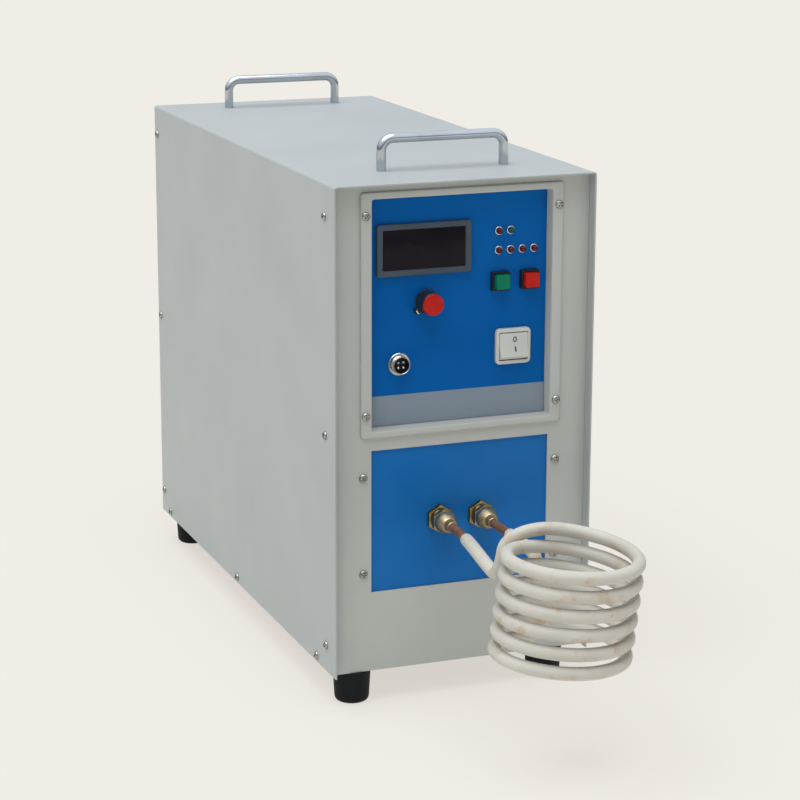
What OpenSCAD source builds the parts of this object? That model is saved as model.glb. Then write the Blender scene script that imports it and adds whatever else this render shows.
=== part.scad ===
// Bench-top high-frequency induction heating machine with a water-cooled work coil.
// Millimetres, +Z up, front towards -Y. The origin is on the floor, under the middle of the
// whole machine, coil included.

/* [Case] */
// Outer width of the case
case_w = 250; // [246:1:270]
// Depth of the case, from the cover's front edge to its back edge
case_d = 575; // [560:1:640]
// Height of the case without its feet
case_h = 450; // [448:1:500]
// Thickness of the steel sheet
sheet_t = 1.5; // [1.2:0.1:1.8]
// Radius of the two bends along the top of the cover
bend_r = 3; // [2.5:0.5:5]
// How far the cover stands out past the front panel
cover_lip = 12; // [10:1:14]
// How far the rear panel lies inside the cover's back edge
rear_inset = 2; // [1:0.5:3]
// Depth of the panels' folded side flanges
flange_d = 20; // [18:1:24]
// Height of the base pan's folded edges
pan_edge_h = 15; // [13:1:18]
// Gap left between pieces that are assembled face to face
fit_gap = 0.2; // [0.1:0.05:0.3]

/* [Feet] */
// Height of a rubber foot
foot_h = 31; // [26:1:36]
// Radius of a foot at its top
foot_r = 17.5; // [15:0.5:18]
// How much narrower a foot is at the floor
foot_taper = 1.5; // [1:0.5:3]
// Radius of the rounded rim at the floor
foot_rim_r = 3; // [2:0.5:4]
// Distance from the left side to the left feet
foot_in_left = 25; // [23:1:30]
// Distance from the right side to the right feet
foot_in_right = 33; // [25:1:36]
// Distance from the cover's front edge to the front feet
foot_in_front = 27; // [24:1:40]
// Distance from the cover's back edge to the rear feet
foot_in_rear = 30; // [24:1:40]

/* [Carrying handles] */
// Distance between the legs of a handle
handle_span = 119; // [110:1:126]
// Height of a handle above the cover
handle_h = 33.7; // [30:0.1:40]
// Radius of the handle rod
handle_rod_r = 4.5; // [4:0.25:5.5]
// Radius of a handle's bends, on the middle of the rod
handle_bend_r = 11; // [9:0.5:14]
// How far the handles lie to the right of the middle of the case
handle_offset = 4.5; // [0:0.5:6]
// Distance from the cover's front edge to the front handle
handle_front_in = 71; // [60:1:90]
// Distance from the cover's back edge to the rear handle
handle_rear_in = 44; // [36:1:60]

/* [Control bezel and plate] */
// Width of the control bezel
bezel_w = 194; // [192:1:198]
// Height of the control bezel
bezel_h = 222; // [220:1:224]
// Gap above the control bezel, to the top of the case
bezel_top = 8; // [7:0.5:12]
// How far the bezel's face stands out from the front panel
bezel_rise = 3; // [2:0.5:4]
// Corner radius of the bezel
bezel_corner_r = 5; // [3:0.5:8]
// Width of the bezel's recess
recess_w = 170; // [168:1:172]
// Height of the bezel's recess
recess_h = 206; // [204:1:208]
// Depth of the recess, down to the control plate
recess_d = 10; // [8:0.5:11]
// Thickness of the control plate
plate_t = 1; // [0.8:0.1:1.5]
// Height of the grey title strip along the bottom of the plate
strip_h = 27.8; // [20:0.2:29]
// Distance between the bezel screws, across
bezel_screw_w = 185; // [184:0.5:186]
// Distance between the bezel screws, up and down
bezel_screw_h = 180.5; // [170:0.5:190]

/* [Panel meter] */
// Width of the meter's front frame
meter_w = 90; // [86:1:94]
// Height of the meter's front frame
meter_h = 46.7; // [45:0.1:50]
// How far the meter stands out from the plate
meter_rise = 4; // [3:0.5:5]
// Width of the meter's window
window_w = 78.5; // [76:0.5:80]
// Height of the meter's window
window_h = 36; // [34:0.5:38]
// Depth of the meter's housing behind the plate
meter_depth = 60; // [50:1:80]
// Sideways place of the meter, from the middle of the case
meter_x = -34.6; // [-35:0.1:-33]
// Height of the meter's centre above the bezel's centre
meter_up = 56.8; // [54:0.1:58]

/* [Lamps] */
// Outer radius of a lamp's chrome holder
lamp_r = 4; // [3.5:0.1:4.5]
// Radius of a lamp's lens
lens_r = 2.5; // [2.2:0.1:2.8]
// Distance between neighbouring lamps
lamp_pitch = 11.5; // [11:0.1:12]
// Distance between the two rows of lamps
lamp_row_gap = 17.7; // [14:0.1:18]
// Sideways place of the first lamp
lamp_x = 38; // [37:0.1:39]
// Height of the upper row above the bezel's centre
lamp_up = 68; // [66:0.1:74]

/* [Push buttons] */
// Width of a square button cap
cap_w = 13.5; // [12:0.1:14]
// Width of a button's square base
button_w = 17.5; // [17:0.1:18.5]
// How far a cap stands out from its base
cap_rise = 9; // [8:0.1:10]
// Thickness of the base in front of the plate
button_t = 5; // [4.8:0.1:6]
// How far a button travels when pressed
button_travel = 3; // [2:0.1:3]
// Clearance around a cap in its base
cap_gap = 0.2; // [0.15:0.05:0.3]
// Sideways place of the start button
start_x = 39.2; // [38:0.1:40]
// Sideways place of the stop button
stop_x = 67.6; // [66:0.1:69]
// Height of both buttons above the bezel's centre
button_up = 22.4; // [20:0.1:24]

/* [Power knob] */
// Radius of the knob's body
knob_r = 10.5; // [9.5:0.1:11.5]
// How far the knob stands out from the plate
knob_rise = 19; // [18:0.5:21]
// Radius of the knob's coloured cap
knob_cap_r = 9.7; // [8:0.1:9.8]
// Reach of the knob's pointer from the shaft
pointer_reach = 15; // [13:0.1:17]
// Angle of the pointer at rest, clockwise from straight up
pointer_angle = 232; // [225:1:240]
// Radius of the potentiometer's shaft
shaft_r = 3; // [2.5:0.1:3.2]
// Running clearance around the shaft
shaft_gap = 0.05; // [0.03:0.01:0.08]
// Sideways place of the knob
knob_x = -31.5; // [-34:0.1:-29]
// Height of the knob above the bezel's centre
knob_up = 8.5; // [7:0.1:10]

/* [Rocker switch] */
// Width of the rocker's frame
rocker_w = 34; // [33.5:0.1:35]
// Height of the rocker's frame
rocker_h = 33; // [32.5:0.1:34]
// Width of the rocker's key
key_w = 27.5; // [26:0.1:28]
// Height of the key's front, end to end
key_h = 21; // [20:0.1:21.5]
// Tilt of the key to either side
key_tilt = 11; // [8:0.5:12]
// Clearance around the key
key_gap = 0.3; // [0.25:0.05:0.35]
// Sideways place of the rocker
rocker_x = 52.4; // [50:0.1:54]
// Depth of the rocker below the bezel's centre
rocker_down = 38.3; // [37:0.1:40]

/* [Control socket] */
// Radius of the socket's flange
socket_r = 10.35; // [9.8:0.05:11]
// How far the socket's collar stands out from its flange
collar_len = 6; // [5:0.5:8]
// Sideways place of the socket
socket_x = -57.6; // [-60:0.1:-55]
// Depth of the socket below the bezel's centre
socket_down = 46.8; // [44:0.1:50]

/* [Terminal board and coil fittings] */
// Width of the opening in the front panel
board_open_w = 172.5; // [170:0.5:174]
// Gap between the control bezel and the opening below it
board_open_drop = 12; // [11:0.5:15]
// Height of the opening's lower edge above the case bottom
board_open_z = 75; // [72:0.5:76]
// Thickness of the insulating board
board_t = 6; // [5:0.5:8]
// Distance between the board screws, across
board_screw_w = 188; // [187:0.5:189]
// Depth of the upper board screws below the opening's upper edge
board_screw_down = 24.5; // [20:0.5:28]
// Height of the lower board screws above the opening's lower edge
board_screw_up = 18; // [14:0.5:22]
// Distance between the two coil fittings
fitting_span = 40; // [38:0.5:46]
// How far the coil fittings lie below the middle of the opening
fitting_drop = 3; // [0:0.5:6]
// Radius of a fitting's threaded body
thread_r = 9; // [8:0.1:9.5]
// Width across the flats of the lock nuts
lock_nut_w = 22.4; // [21:0.1:24]
// Thickness of the lock nuts
lock_nut_t = 5; // [4:0.1:6]
// Width across the flats of a fitting's hexagon
body_hex_w = 20; // [19.5:0.1:21]
// Thickness of a fitting's hexagon
body_hex_t = 6; // [5:0.1:7]
// Visible thread between the lock nut and the hexagon
neck_len = 3; // [2:0.1:4]
// Length of the conical flare nut
flare_len = 12.5; // [11:0.5:14]

/* [Heating coil] */
// Diameter of the copper tube
coil_tube_d = 8; // [7:0.1:8.2]
// Diameter of the insulating sleeve
sleeve_d = 11.8; // [11:0.1:12.4]
// Wall of the insulating sleeve
sleeve_t = 1.6; // [1.3:0.05:1.7]
// Radius of the coil, on the middle of the tube
coil_r = 55.4; // [52:0.1:60]
// Rise of one turn of the coil
coil_pitch = 16.5; // [15.5:0.1:18]
// Number of whole turns
coil_turns = 6; // [5:1:7]
// Distance of the coil's axis in front of the cover's front edge
coil_out = 195; // [190:1:210]
// Distance of the coil's axis to the right of the case's middle
coil_side = 12.5; // [8:0.5:16]
// Depth of the coil's middle below the fittings
coil_down = 15.8; // [12:0.1:18]
// Sideways lean of the coil's axis in degrees
coil_lean = 6.3; // [4:0.1:8]
// Forward tip of the coil's axis in degrees
coil_tip = 1.5; // [0:0.1:3]
// Bare copper in front of the case on the left lead
bare_left = 50.5; // [46:0.5:54]
// Bare copper in front of the case on the right lead
bare_right = 56; // [50:0.5:60]
// Fall of the left lead before it turns up to the top turn
lead_fall = 13; // [10:0.5:16]

/* [Inner shelf and electrics] */
// How far the shelf's top lies below the coil fittings
shelf_drop = 44.5; // [42:0.5:48]
// Width of the inner shelf
shelf_w = 126; // [124:1:130]
// Depth of the inner shelf
shelf_d = 168; // [165:1:175]
// How far the board plate's top edge lies below the top of the case
board_plate_drop = 58; // [50:1:70]
// Width of the control board
pcb_w = 160; // [140:1:170]
// Height of the control board
pcb_h = 120; // [110:1:126]
// Width of the output transformer's core
core_w = 92; // [88:1:100]
// Height of the output transformer's core
core_h = 84; // [80:1:88]
// Depth of the output transformer's core
core_d = 48; // [44:1:50]
// Radius of a tank capacitor
tank_cap_r = 20; // [18:0.5:21]
// Height of a tank capacitor
tank_cap_h = 58; // [50:1:70]
// Width of the water-cooled plate
cold_w = 150; // [146:1:160]
// Thickness of the water-cooled plate
cold_t = 20; // [18:1:24]
// Radius of a filter capacitor
filter_cap_r = 32; // [28:1:34]
// Height of a filter capacitor
filter_cap_h = 105; // [90:1:120]

/* [Fan and rear fittings] */
// Width of the square fan
fan_w = 120; // [118:1:124]
// Thickness of the fan
fan_t = 25; // [25:1:30]
// Depth of the fan's centre below the top of the case
fan_drop = 140; // [120:1:160]
// Number of fan blades
fan_blades = 7; // [5:1:9]
// Radius of the fan's hub
fan_hub_r = 20; // [18:0.5:22]
// Radius of the fan's axle
axle_r = 3; // [2.5:0.1:3.5]
// Radius of a water spigot
spigot_r = 5; // [4.5:0.1:6]
// Reach of a water spigot behind the rear panel
spigot_len = 30; // [26:1:36]
// Distance between the two water spigots
spigot_span = 90; // [80:1:100]
// Height of the water spigots above the case bottom
spigot_z = 52; // [48:1:60]
// Radius of the cable gland's bore
gland_bore_r = 6.5; // [5:0.1:7]
// Radius of the earth stud
stud_r = 3; // [2.5:0.1:4]
// Reach of the earth stud behind the rear panel
stud_len = 20; // [16:1:24]

/* [Hidden] */
$fn = 48;

// Colours
case_grey = "#b4b7b1";
frame_grey = "#bfbfb8";
plate_blue = "#0b4f94";
board_blue = "#165e9e";
strip_grey = "#7b8690";
nickel = "#c9c8c2";
chrome = "#d5d7d9";
rubber_black = "#1b1f22";
slate = "#4a5866";
window_dark = "#231c24";
lamp_red = "#c81e1a";
lamp_green = "#1f8a57";
cap_red = "#d0281e";
cap_green = "#0e8c5f";
plastic_black = "#17181a";
rocker_grey = "#c9cbc8";
brass = "#a08c5a";
copper = "#8a5a4a";
sleeve_cream = "#e4e1d6";
ferrite_grey = "#3b3d40";
capacitor_blue = "#2c5b8a";
aluminium = "#a9adb0";
board_green = "#1d6b3c";
hose_blue = "#2a6fa8";

// Overrun of every cut past the face it goes through, and the gap between pieces that slip together
cut = 1;
slip_gap = 0.1;

// Where the case sits on the machine's own axes
rear_reach = spigot_len - rear_inset;
coil_reach = coil_out + coil_r + sleeve_d / 2;
front_y = (coil_reach - case_d - rear_reach) / 2;
half_w = case_w / 2;

// Sheet-metal places, from the cover's front edge and the case bottom
panel_y = cover_lip;
panel_back = panel_y + sheet_t;
panel_w = case_w - 2 * sheet_t - 2 * fit_gap;
panel_top = case_h - sheet_t - fit_gap;
rear_y = case_d - rear_inset - sheet_t;
rear_face = case_d - rear_inset;
pan_y0 = panel_back + fit_gap;
pan_y1 = rear_y - fit_gap;
pan_top = sheet_t + fit_gap;
flange_z = pan_edge_h + fit_gap;

// Screws: pan heads with rounded edges on plain shanks
m4_head_r = 4;
m4_head_h = 2.4;
m4_r = 2;
m4_hole_r = 2.15;
m4_len = 10;
m6_head_r = 5;
m6_head_h = 3.5;
m6_r = 2.5;
m6_hole_r = 2.7;
head_edge_r = 0.9;
slot_w = 0.8;
slot_d = 0.9;
slot_share = 0.6;

// Cover screws on each side: places along the depth and the height
cover_screw_front = 25.5;
cover_screw_rear = 10;
cover_screw_low = 25;
cover_screw_top = 29.5;
cover_screw_z = 6;
cover_screw_y1 = 52;
cover_screw_back = 33;
cover_screw_y3 = case_d - cover_screw_back;
cover_screw_y2 = (cover_screw_y1 + cover_screw_y3) / 2;
cover_screw_mid = (cover_screw_low + case_h - cover_screw_top) / 2;
cover_screw_places = [
    [cover_screw_front, cover_screw_low],
    [cover_screw_front, cover_screw_mid],
    [cover_screw_front, case_h - cover_screw_top],
    [case_d - cover_screw_rear, cover_screw_low],
    [case_d - cover_screw_rear, cover_screw_mid],
    [case_d - cover_screw_rear, case_h - cover_screw_top],
    [cover_screw_y1, cover_screw_z],
    [cover_screw_y2, cover_screw_z],
    [cover_screw_y3, cover_screw_z]
];

// Feet and handles
foot_places = [
    [foot_in_left - half_w, foot_in_front],
    [half_w - foot_in_right, foot_in_front],
    [foot_in_left - half_w, case_d - foot_in_rear],
    [half_w - foot_in_right, case_d - foot_in_rear]
];
foot_core_r = 6;
foot_recess = 12;
handle_places = [handle_front_in, case_d - handle_rear_in];
handle_bore_d = 12;
handle_screw_len = 12;

// Control bezel and plate
bezel_z = case_h - bezel_top - bezel_h / 2;
bezel_face = panel_y - bezel_rise;
plate_y = bezel_face + recess_d;
floor_y = plate_y + plate_t;
floor_back = floor_y + sheet_t;
tray_w = recess_w + 2 * sheet_t;
tray_h = recess_h + 2 * sheet_t;
recess_corner_r = 2;
bezel_screw_places = [
    for (sx = [-1, 1], sz = [-1, 1]) [sx * bezel_screw_w / 2, bezel_z + sz * bezel_screw_h / 2]
];

// Meter
meter_z = bezel_z + meter_up;
meter_corner_r = 2;
meter_shell_edge = 2.5;
meter_shell_w = window_w + 2 * meter_shell_edge;
meter_shell_h = window_h + 2 * meter_shell_edge;
window_sink = 1.2;
meter_step = 0.6;

// Lamps
lamp_z = bezel_z + lamp_up;
lamp_flange_t = 1.2;
lamp_wall = 0.9;
lamp_barrel_r = lens_r + lamp_wall;
lamp_len = 9;
lens_gap = 0.1;
lens_rise = 1.2;
red_lamp_places = concat(
    [[lamp_x, lamp_z]],
    [for (i = [0:3]) [lamp_x + i * lamp_pitch, lamp_z - lamp_row_gap]]
);
green_lamp_place = [lamp_x + lamp_pitch, lamp_z];
lamp_places = concat(red_lamp_places, [green_lamp_place]);

// Buttons
button_z = bezel_z + button_up;
button_corner_r = 1.2;
cap_corner_r = 1.5;
button_barrel_r = 7.8;
button_barrel_len = 24;
button_face = plate_y - button_t;
cap_face = button_face - cap_rise;
well_depth = button_t - fit_gap;
cap_back = button_face + well_depth - button_travel - fit_gap;

// Knob
knob_z = bezel_z + knob_up;
knob_face = plate_y - knob_rise;
knob_cap_t = 2.4;
knob_back_gap = 1;
knob_nut_r = 6.5;
knob_nut_t = 2.5;
knob_skirt_t = 6;
knob_skirt_edge = 0.9;
knob_skirt_r = knob_r + knob_skirt_edge;
pot_bush_r = 4.6;
pot_body_r = 12;
pot_body_t = 11;
pointer_w = 5;
pointer_t = 5;
grip_r = 1;
grip_count = 12;

// Rocker
rocker_z = bezel_z - rocker_down;
rocker_corner_r = 4;
rocker_rise = 4;
rocker_wall = 1.3;
rocker_depth = 26;
key_pivot = 1;
key_front = 5.5;
key_back = 5;
key_end_r = norm([key_h / 2, key_front + key_h / 2 * tan(key_tilt)]);
key_pin_r = 1.5;
pocket_h = 2 * (key_end_r + key_gap);
pocket_w = key_w + 2 * key_gap;

// Socket
socket_z = bezel_z - socket_down;
socket_flange_t = 2;
socket_collar_r = 8.2;
socket_bore_r = 6.6;
socket_barrel_r = 7.9;
socket_len = 18;
socket_pin_r = 0.9;
socket_pin_ring = 3.1;
socket_pin_len = 3;
socket_key_w = 1.6;

// Terminal board and fittings
board_face = panel_back + fit_gap;
board_back = board_face + board_t;
board_edge = 13;
board_open_h = case_h - bezel_top - bezel_h - board_open_drop - board_open_z;
board_w = board_open_w + 2 * board_edge;
board_top = 10;
board_h = board_open_h + board_edge + board_top;
board_z = board_open_z - board_edge + board_h / 2;
board_screw_z1 = board_open_z + board_screw_up;
board_screw_z2 = board_open_z + board_open_h - board_screw_down;
board_screw_places = [
    for (sx = [-1, 1], z = [board_screw_z1, board_screw_z2]) [sx * board_screw_w / 2, z]
];
fitting_z = board_open_z + board_open_h / 2 - fitting_drop;
nut_back = board_face - fit_gap;
nut_face = nut_back - lock_nut_t;
hex_back = nut_face - neck_len;
hex_face = hex_back - body_hex_t;
flare_back = hex_face - fit_gap;
flare_face = flare_back - flare_len;
flare_r1 = body_hex_w / 2;
flare_nose_t = 2.6;
flare_r2 = coil_tube_d / 2 + flare_nose_t;
ferrule_t = 0.8;
ferrule_r = coil_tube_d / 2 + ferrule_t;
ferrule_len = 6;
tube_gap = 0.2;
inner_nut_t = 6;
bus_w = 16;
fitting_tail = 10;
fitting_back = board_back + inner_nut_t + fit_gap + fitting_tail;
tube_past_hex = 2;
tube_entry = body_hex_t + tube_past_hex;

// Coil route
sleeve_r = sleeve_d / 2;
tube_r = coil_tube_d / 2;
sleeve_bore = sleeve_r - sleeve_t;
ring_sides = 6;
rings_per_turn = 24;
coil_z = fitting_z - coil_down;
coil_start = 98;
coil_end = coil_turns * 360 + 82;
coil_back = coil_r - coil_out;
rise_clear = 8;
riser_clear = 19.6;
rise_low = 22;
riser_low = 19;
riser_bend = 27;
lead_settle = 1.6;
lead_turn = 112;
lead_side = 1;
straight_len = 10;
left_x = -fitting_span / 2;
right_x = fitting_span / 2;
coil_top_z = coil_z + coil_turns * coil_pitch / 2;
coil_low_z = coil_z - coil_turns * coil_pitch / 2;
lead_y0 = hex_face + tube_entry;
lead_y1 = flare_face - ferrule_len - straight_len / 4;

// Point on the coil's helix after so many degrees from the left side of the top turn
function helix_raw(a) = [-coil_r * cos(a), coil_r * sin(a), (coil_turns / 2 - a / 360) * coil_pitch];
function lean(p) = [
    p[0] * cos(coil_lean) + p[2] * sin(coil_lean),
    p[1],
    p[2] * cos(coil_lean) - p[0] * sin(coil_lean)
];
function tip(p) = [
    p[0],
    p[1] * cos(coil_tip) - p[2] * sin(coil_tip),
    p[1] * sin(coil_tip) + p[2] * cos(coil_tip)
];
function helix(a) = [coil_side, -coil_out, coil_z] + tip(lean(helix_raw(a)));
function unit(v) = v / norm(v);
function helix_way(a) = unit(helix(a + 1) - helix(a - 1));

// Smooth stretch from one place and heading to the next, without its last point
function bend(p, q, n) = let (reach = norm(q[0] - p[0])) [
    for (i = [0:n - 1]) let (t = i / n, s = 1 - t)
        (1 + 2 * t) * s * s * p[0] + t * s * s * reach * p[1]
        + t * t * (3 - 2 * t) * q[0] - t * t * s * reach * q[1]
];
ahead = [0, -1, 0];
aback = [0, 1, 0];
left_stops = [
    [[left_x, lead_y0, fitting_z], ahead],
    [[left_x, lead_y1, fitting_z], ahead],
    [[left_x, -bare_left, fitting_z - lead_settle], unit([0, -1, -0.12])],
    [[left_x, -lead_turn, fitting_z - lead_fall], unit([0, -1, -0.12])],
    [[left_x + lead_side, coil_back + rise_clear, coil_top_z - rise_low], unit([0.1, -0.1, 1])],
    [helix(coil_start), helix_way(coil_start)]
];
left_steps = [1, 2, 4, 5, 5];
right_stops = [
    [helix(coil_end), helix_way(coil_end)],
    [[right_x + lead_side, coil_back + riser_clear, coil_low_z + riser_low], unit([0, 0.05, 1])],
    [[right_x + lead_side, coil_back + riser_clear + lead_side, fitting_z - riser_bend], unit([0, 0.05, 1])],
    [[right_x + lead_side, coil_back + 2 * riser_clear, fitting_z - lead_settle], unit([0, 1, 0.03])],
    [[right_x, -bare_right, fitting_z], aback],
    [[right_x, lead_y1, fitting_z], aback],
    [[right_x, lead_y0, fitting_z], aback]
];
right_steps = [5, 1, 5, 2, 1, 1];
turn_rings = floor((coil_end - coil_start) / 360 * rings_per_turn);
left_route = [for (i = [0:len(left_steps) - 1]) each bend(left_stops[i], left_stops[i + 1], left_steps[i])];
turn_route = [
    for (i = [0:turn_rings - 1]) helix(coil_start + (coil_end - coil_start) * i / turn_rings)
];
right_route = [
    for (i = [0:len(right_steps) - 1]) each bend(right_stops[i], right_stops[i + 1], right_steps[i])
];
coil_route = concat(left_route, turn_route, right_route, [right_stops[len(right_steps)][0]]);
sleeve_from = left_steps[0] + left_steps[1];
sleeve_to = len(coil_route) - 1 - right_steps[4] - right_steps[5];
sleeve_route = [for (i = [sleeve_from:sleeve_to]) coil_route[i]];

// Heading at each point of a route
function headings(pts) = [
    for (i = [0:len(pts) - 1])
        unit(pts[min(i + 1, len(pts) - 1)] - pts[max(i - 1, 0)])
];
// Side directions that turn as little as they can along a route
function square_to(v, way) = unit(v - (v * way) * way);
function sides(ways) = [
    for (i = 0, u = square_to([0, 0, 1], ways[0]); i < len(ways);
        i = i + 1, u = i < len(ways) ? square_to(u, ways[i]) : u) u
];
function rings(pts, r) = let (ways = headings(pts), us = sides(ways)) [
    for (i = [0:len(pts) - 1], k = [0:ring_sides - 1])
        let (a = 360 * k / ring_sides)
            pts[i] + r * (cos(a) * us[i] + sin(a) * cross(ways[i], us[i]))
];
// Two triangles for each side of a tube between rings; flip turns them inside out
function wall_faces(count, first, flip) = [
    for (i = [0:count - 2], k = [0:ring_sides - 1])
        let (
            a = first + i * ring_sides + k,
            b = first + i * ring_sides + (k + 1) % ring_sides,
            c = a + ring_sides,
            d = b + ring_sides
        )
        each flip ? [[a, b, c], [b, d, c]] : [[a, c, b], [b, c, d]]
];
function disc_faces(first, flip) = [
    for (k = [1:ring_sides - 2])
        flip ? [first, first + k + 1, first + k] : [first, first + k, first + k + 1]
];
function band_faces(outer, inner, flip) = [
    for (k = [0:ring_sides - 1])
        let (a = outer + k, b = outer + (k + 1) % ring_sides, c = inner + k,
            d = inner + (k + 1) % ring_sides)
        each flip ? [[a, c, b], [b, c, d]] : [[a, b, c], [b, d, c]]
];
module solid_tube(pts, r) {
    last = (len(pts) - 1) * ring_sides;
    polyhedron(
        points = rings(pts, r),
        faces = concat(wall_faces(len(pts), 0, false), disc_faces(0, false), disc_faces(last, true)),
        convexity = 10
    );
}
module hollow_tube(pts, r, bore) {
    n = len(pts);
    inner = n * ring_sides;
    last = (n - 1) * ring_sides;
    polyhedron(
        points = concat(rings(pts, r), rings(pts, bore)),
        faces = concat(
            wall_faces(n, 0, false),
            wall_faces(n, inner, true),
            band_faces(0, inner, false),
            band_faces(last, inner + last, true)
        ),
        convexity = 10
    );
}

// Least gap between parts of the sleeve that are more than a third of a turn apart
function point_gap(p, a, b) = let (ab = b - a, t = max(0, min(1, (p - a) * ab / (ab * ab))))
    norm(p - a - t * ab);
far_apart = rings_per_turn / 3;
self_gap = min([
    for (i = [0:len(sleeve_route) - 1], j = [i + far_apart:1:len(sleeve_route) - 2])
        point_gap(sleeve_route[i], sleeve_route[j], sleeve_route[j + 1])
]) - sleeve_d;
echo(least_gap_between_turns = self_gap);

// Inner shelf and electrics
leg_w = 12;
shelf_z = fitting_z - shelf_drop;
board_plate_z = case_h - board_plate_drop;
shelf_set_back = 42;
shelf_y0 = board_back + shelf_set_back;
shelf_y1 = shelf_y0 + shelf_d;
plate_w = 180;
plate_foot = 4;
standoff_r = 3.5;
standoff_h = 8;
pcb_t = 1.6;
pcb_inset = 8;
pcb_z = board_plate_z - plate_foot - pcb_h / 2;
pcb_y = shelf_y1 - sheet_t - standoff_h - pcb_t;
core_set_back = 2;
core_y = shelf_y0 + core_set_back;
core_window_w = 34;
core_window_h = 44;
core_z = shelf_z + fit_gap + core_h / 2;
winding_w = 14;
winding_t = 6;
tank_cap_clear = 8;
tank_cap_y = shelf_y1 - sheet_t - standoff_h - 2 * pcb_t - tank_cap_r - tank_cap_clear;
tank_cap_x = shelf_w / 2 - tank_cap_r;
cold_set_back = 20;
cold_y = shelf_y1 + cold_set_back;
cold_top = pan_top + cold_t;
hose_wall = 2;
hose_r = spigot_r + hose_wall;
spigot_tail = 12;
filter_cap_set_back = 24;
filter_cap_clear = 10.6;
filter_cap_y = rear_y - spigot_tail - fit_gap - 3 * hose_r - filter_cap_clear - filter_cap_r;
cold_d = filter_cap_y - filter_cap_r - filter_cap_set_back - cold_y;
module_w = 94;
module_d = 34;
module_gap = 13.5;
module_step = module_d + module_gap;
module_count = floor((cold_d - module_gap) / module_step);
module_h = 29;
lug_r = 4;
lug_h = 4;
filter_cap_apart = 6;
filter_cap_x = filter_cap_r + filter_cap_apart;

// Fan and rear
fan_y1 = rear_y - fit_gap;
fan_y0 = fan_y1 - fan_t;
fan_z = case_h - fan_drop;
fan_corner_r = 4;
fan_wall = 4;
fan_bore_r = fan_w / 2 - fan_wall;
blade_tip_gap = 2;
blade_t = 1.8;
blade_pitch = 35;
blade_chord = 24;
rotor_inset = 3;
rotor_t = 15;
arm_w = 7;
arm_t = 3;
arm_sink = 0.5;
axle_gap = 0.05;
fan_screw_in = 7.5;
fan_screw_places = [
    for (sx = [-1, 1], sz = [-1, 1])
        [sx * (fan_w / 2 - fan_screw_in), fan_z + sz * (fan_w / 2 - fan_screw_in)]
];
guard_rod_r = 1;
guard_rings = 5;
rear_open_r = fan_bore_r;
louvre_w = 4;
louvre_h = 46;
louvre_step = 11;
louvre_count = 11;
louvre_drop = 120;
louvre_z = fan_z - louvre_drop;
hose_x = 38;
hose_set_back = 26;
hose_y = board_back + hose_set_back;
hose_lift = 1.5;
hose_z = pan_top + hose_r + hose_lift;
hose_turn_clear = 4;
spigot_hex_w = 18;
spigot_hex_t = 6;
water_bore_r = 3;
gland_in = 47;
gland_x = gland_in - half_w;
gland_z = 130;
gland_hex_w = 26;
gland_hex_t = 6;
gland_cap_r1 = 12;
gland_cap_r2 = 10;
gland_cap_t = 14;
gland_thread_r = 9.5;
gland_tail = 10;
stud_in = 47;
stud_x = half_w - stud_in;
stud_z = 130;
stud_nut_w = 10;
stud_nut_t = 5;
stud_washer_r = 7;
stud_washer_t = 1.4;

// The case's own axes: X from its middle, Y from the cover's front edge, Z from its bottom
module on_case() {
    translate([0, front_y, foot_h]) children();
}

// Rectangle with round corners, made of squares and circles
module round_rect(w, h, r) {
    square([w - 2 * r, h], center = true);
    square([w, h - 2 * r], center = true);
    for (sx = [-1, 1], sy = [-1, 1]) {
        translate([sx * (w / 2 - r), sy * (h / 2 - r)]) circle(r = r);
    }
}

// Flat shape stood up facing the front, from y0 back to y1, centred on x and z
module upright(x, z, y0, y1) {
    translate([x, y1, z]) rotate([90, 0, 0]) linear_extrude(y1 - y0) children();
}

// Round bar along Y from y0 to y1
module bar_y(x, z, r, y0, y1) {
    translate([x, y0, z]) rotate([-90, 0, 0]) cylinder(r = r, h = y1 - y0);
}

// Cone along Y, radius ra at y0 and rb at y1
module cone_y(x, z, ra, rb, y0, y1) {
    translate([x, y0, z]) rotate([-90, 0, 0]) cylinder(r1 = ra, r2 = rb, h = y1 - y0);
}

// Hexagon bar along Y with the given width across its flats, corners left and right
module hex_y(x, z, w, y0, y1) {
    upright(x, z, y0, y1) circle(r = w / 2 / cos(30), $fn = 6);
}

// Round pan head on a shank, head outwards along +Z, its seat at z = 0
module pan_screw(head_r, head_h, r, len) {
    difference() {
        union() {
            rotate_extrude() {
                square([head_r, head_h - head_edge_r]);
                square([head_r - head_edge_r, head_h]);
                translate([head_r - head_edge_r, head_h - head_edge_r]) circle(r = head_edge_r, $fn = 24);
            }
            translate([0, 0, -len]) cylinder(r = r, h = len + head_h / 2);
        }
        for (a = [0, 90]) {
            rotate([0, 0, a]) translate([0, 0, head_h - slot_d / 2 + cut / 2])
                cube([2 * slot_share * head_r, slot_w, slot_d + cut], center = true);
        }
    }
}

// Bent cover: an outline with a flat bottom and two round top corners
module u_outline(w, h, r) {
    translate([-w / 2, 0]) square([w, h - r]);
    translate([r - w / 2, 0]) square([w - 2 * r, h]);
    for (s = [-1, 1]) {
        translate([s * (w / 2 - r), h - r]) circle(r = r);
    }
}

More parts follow.
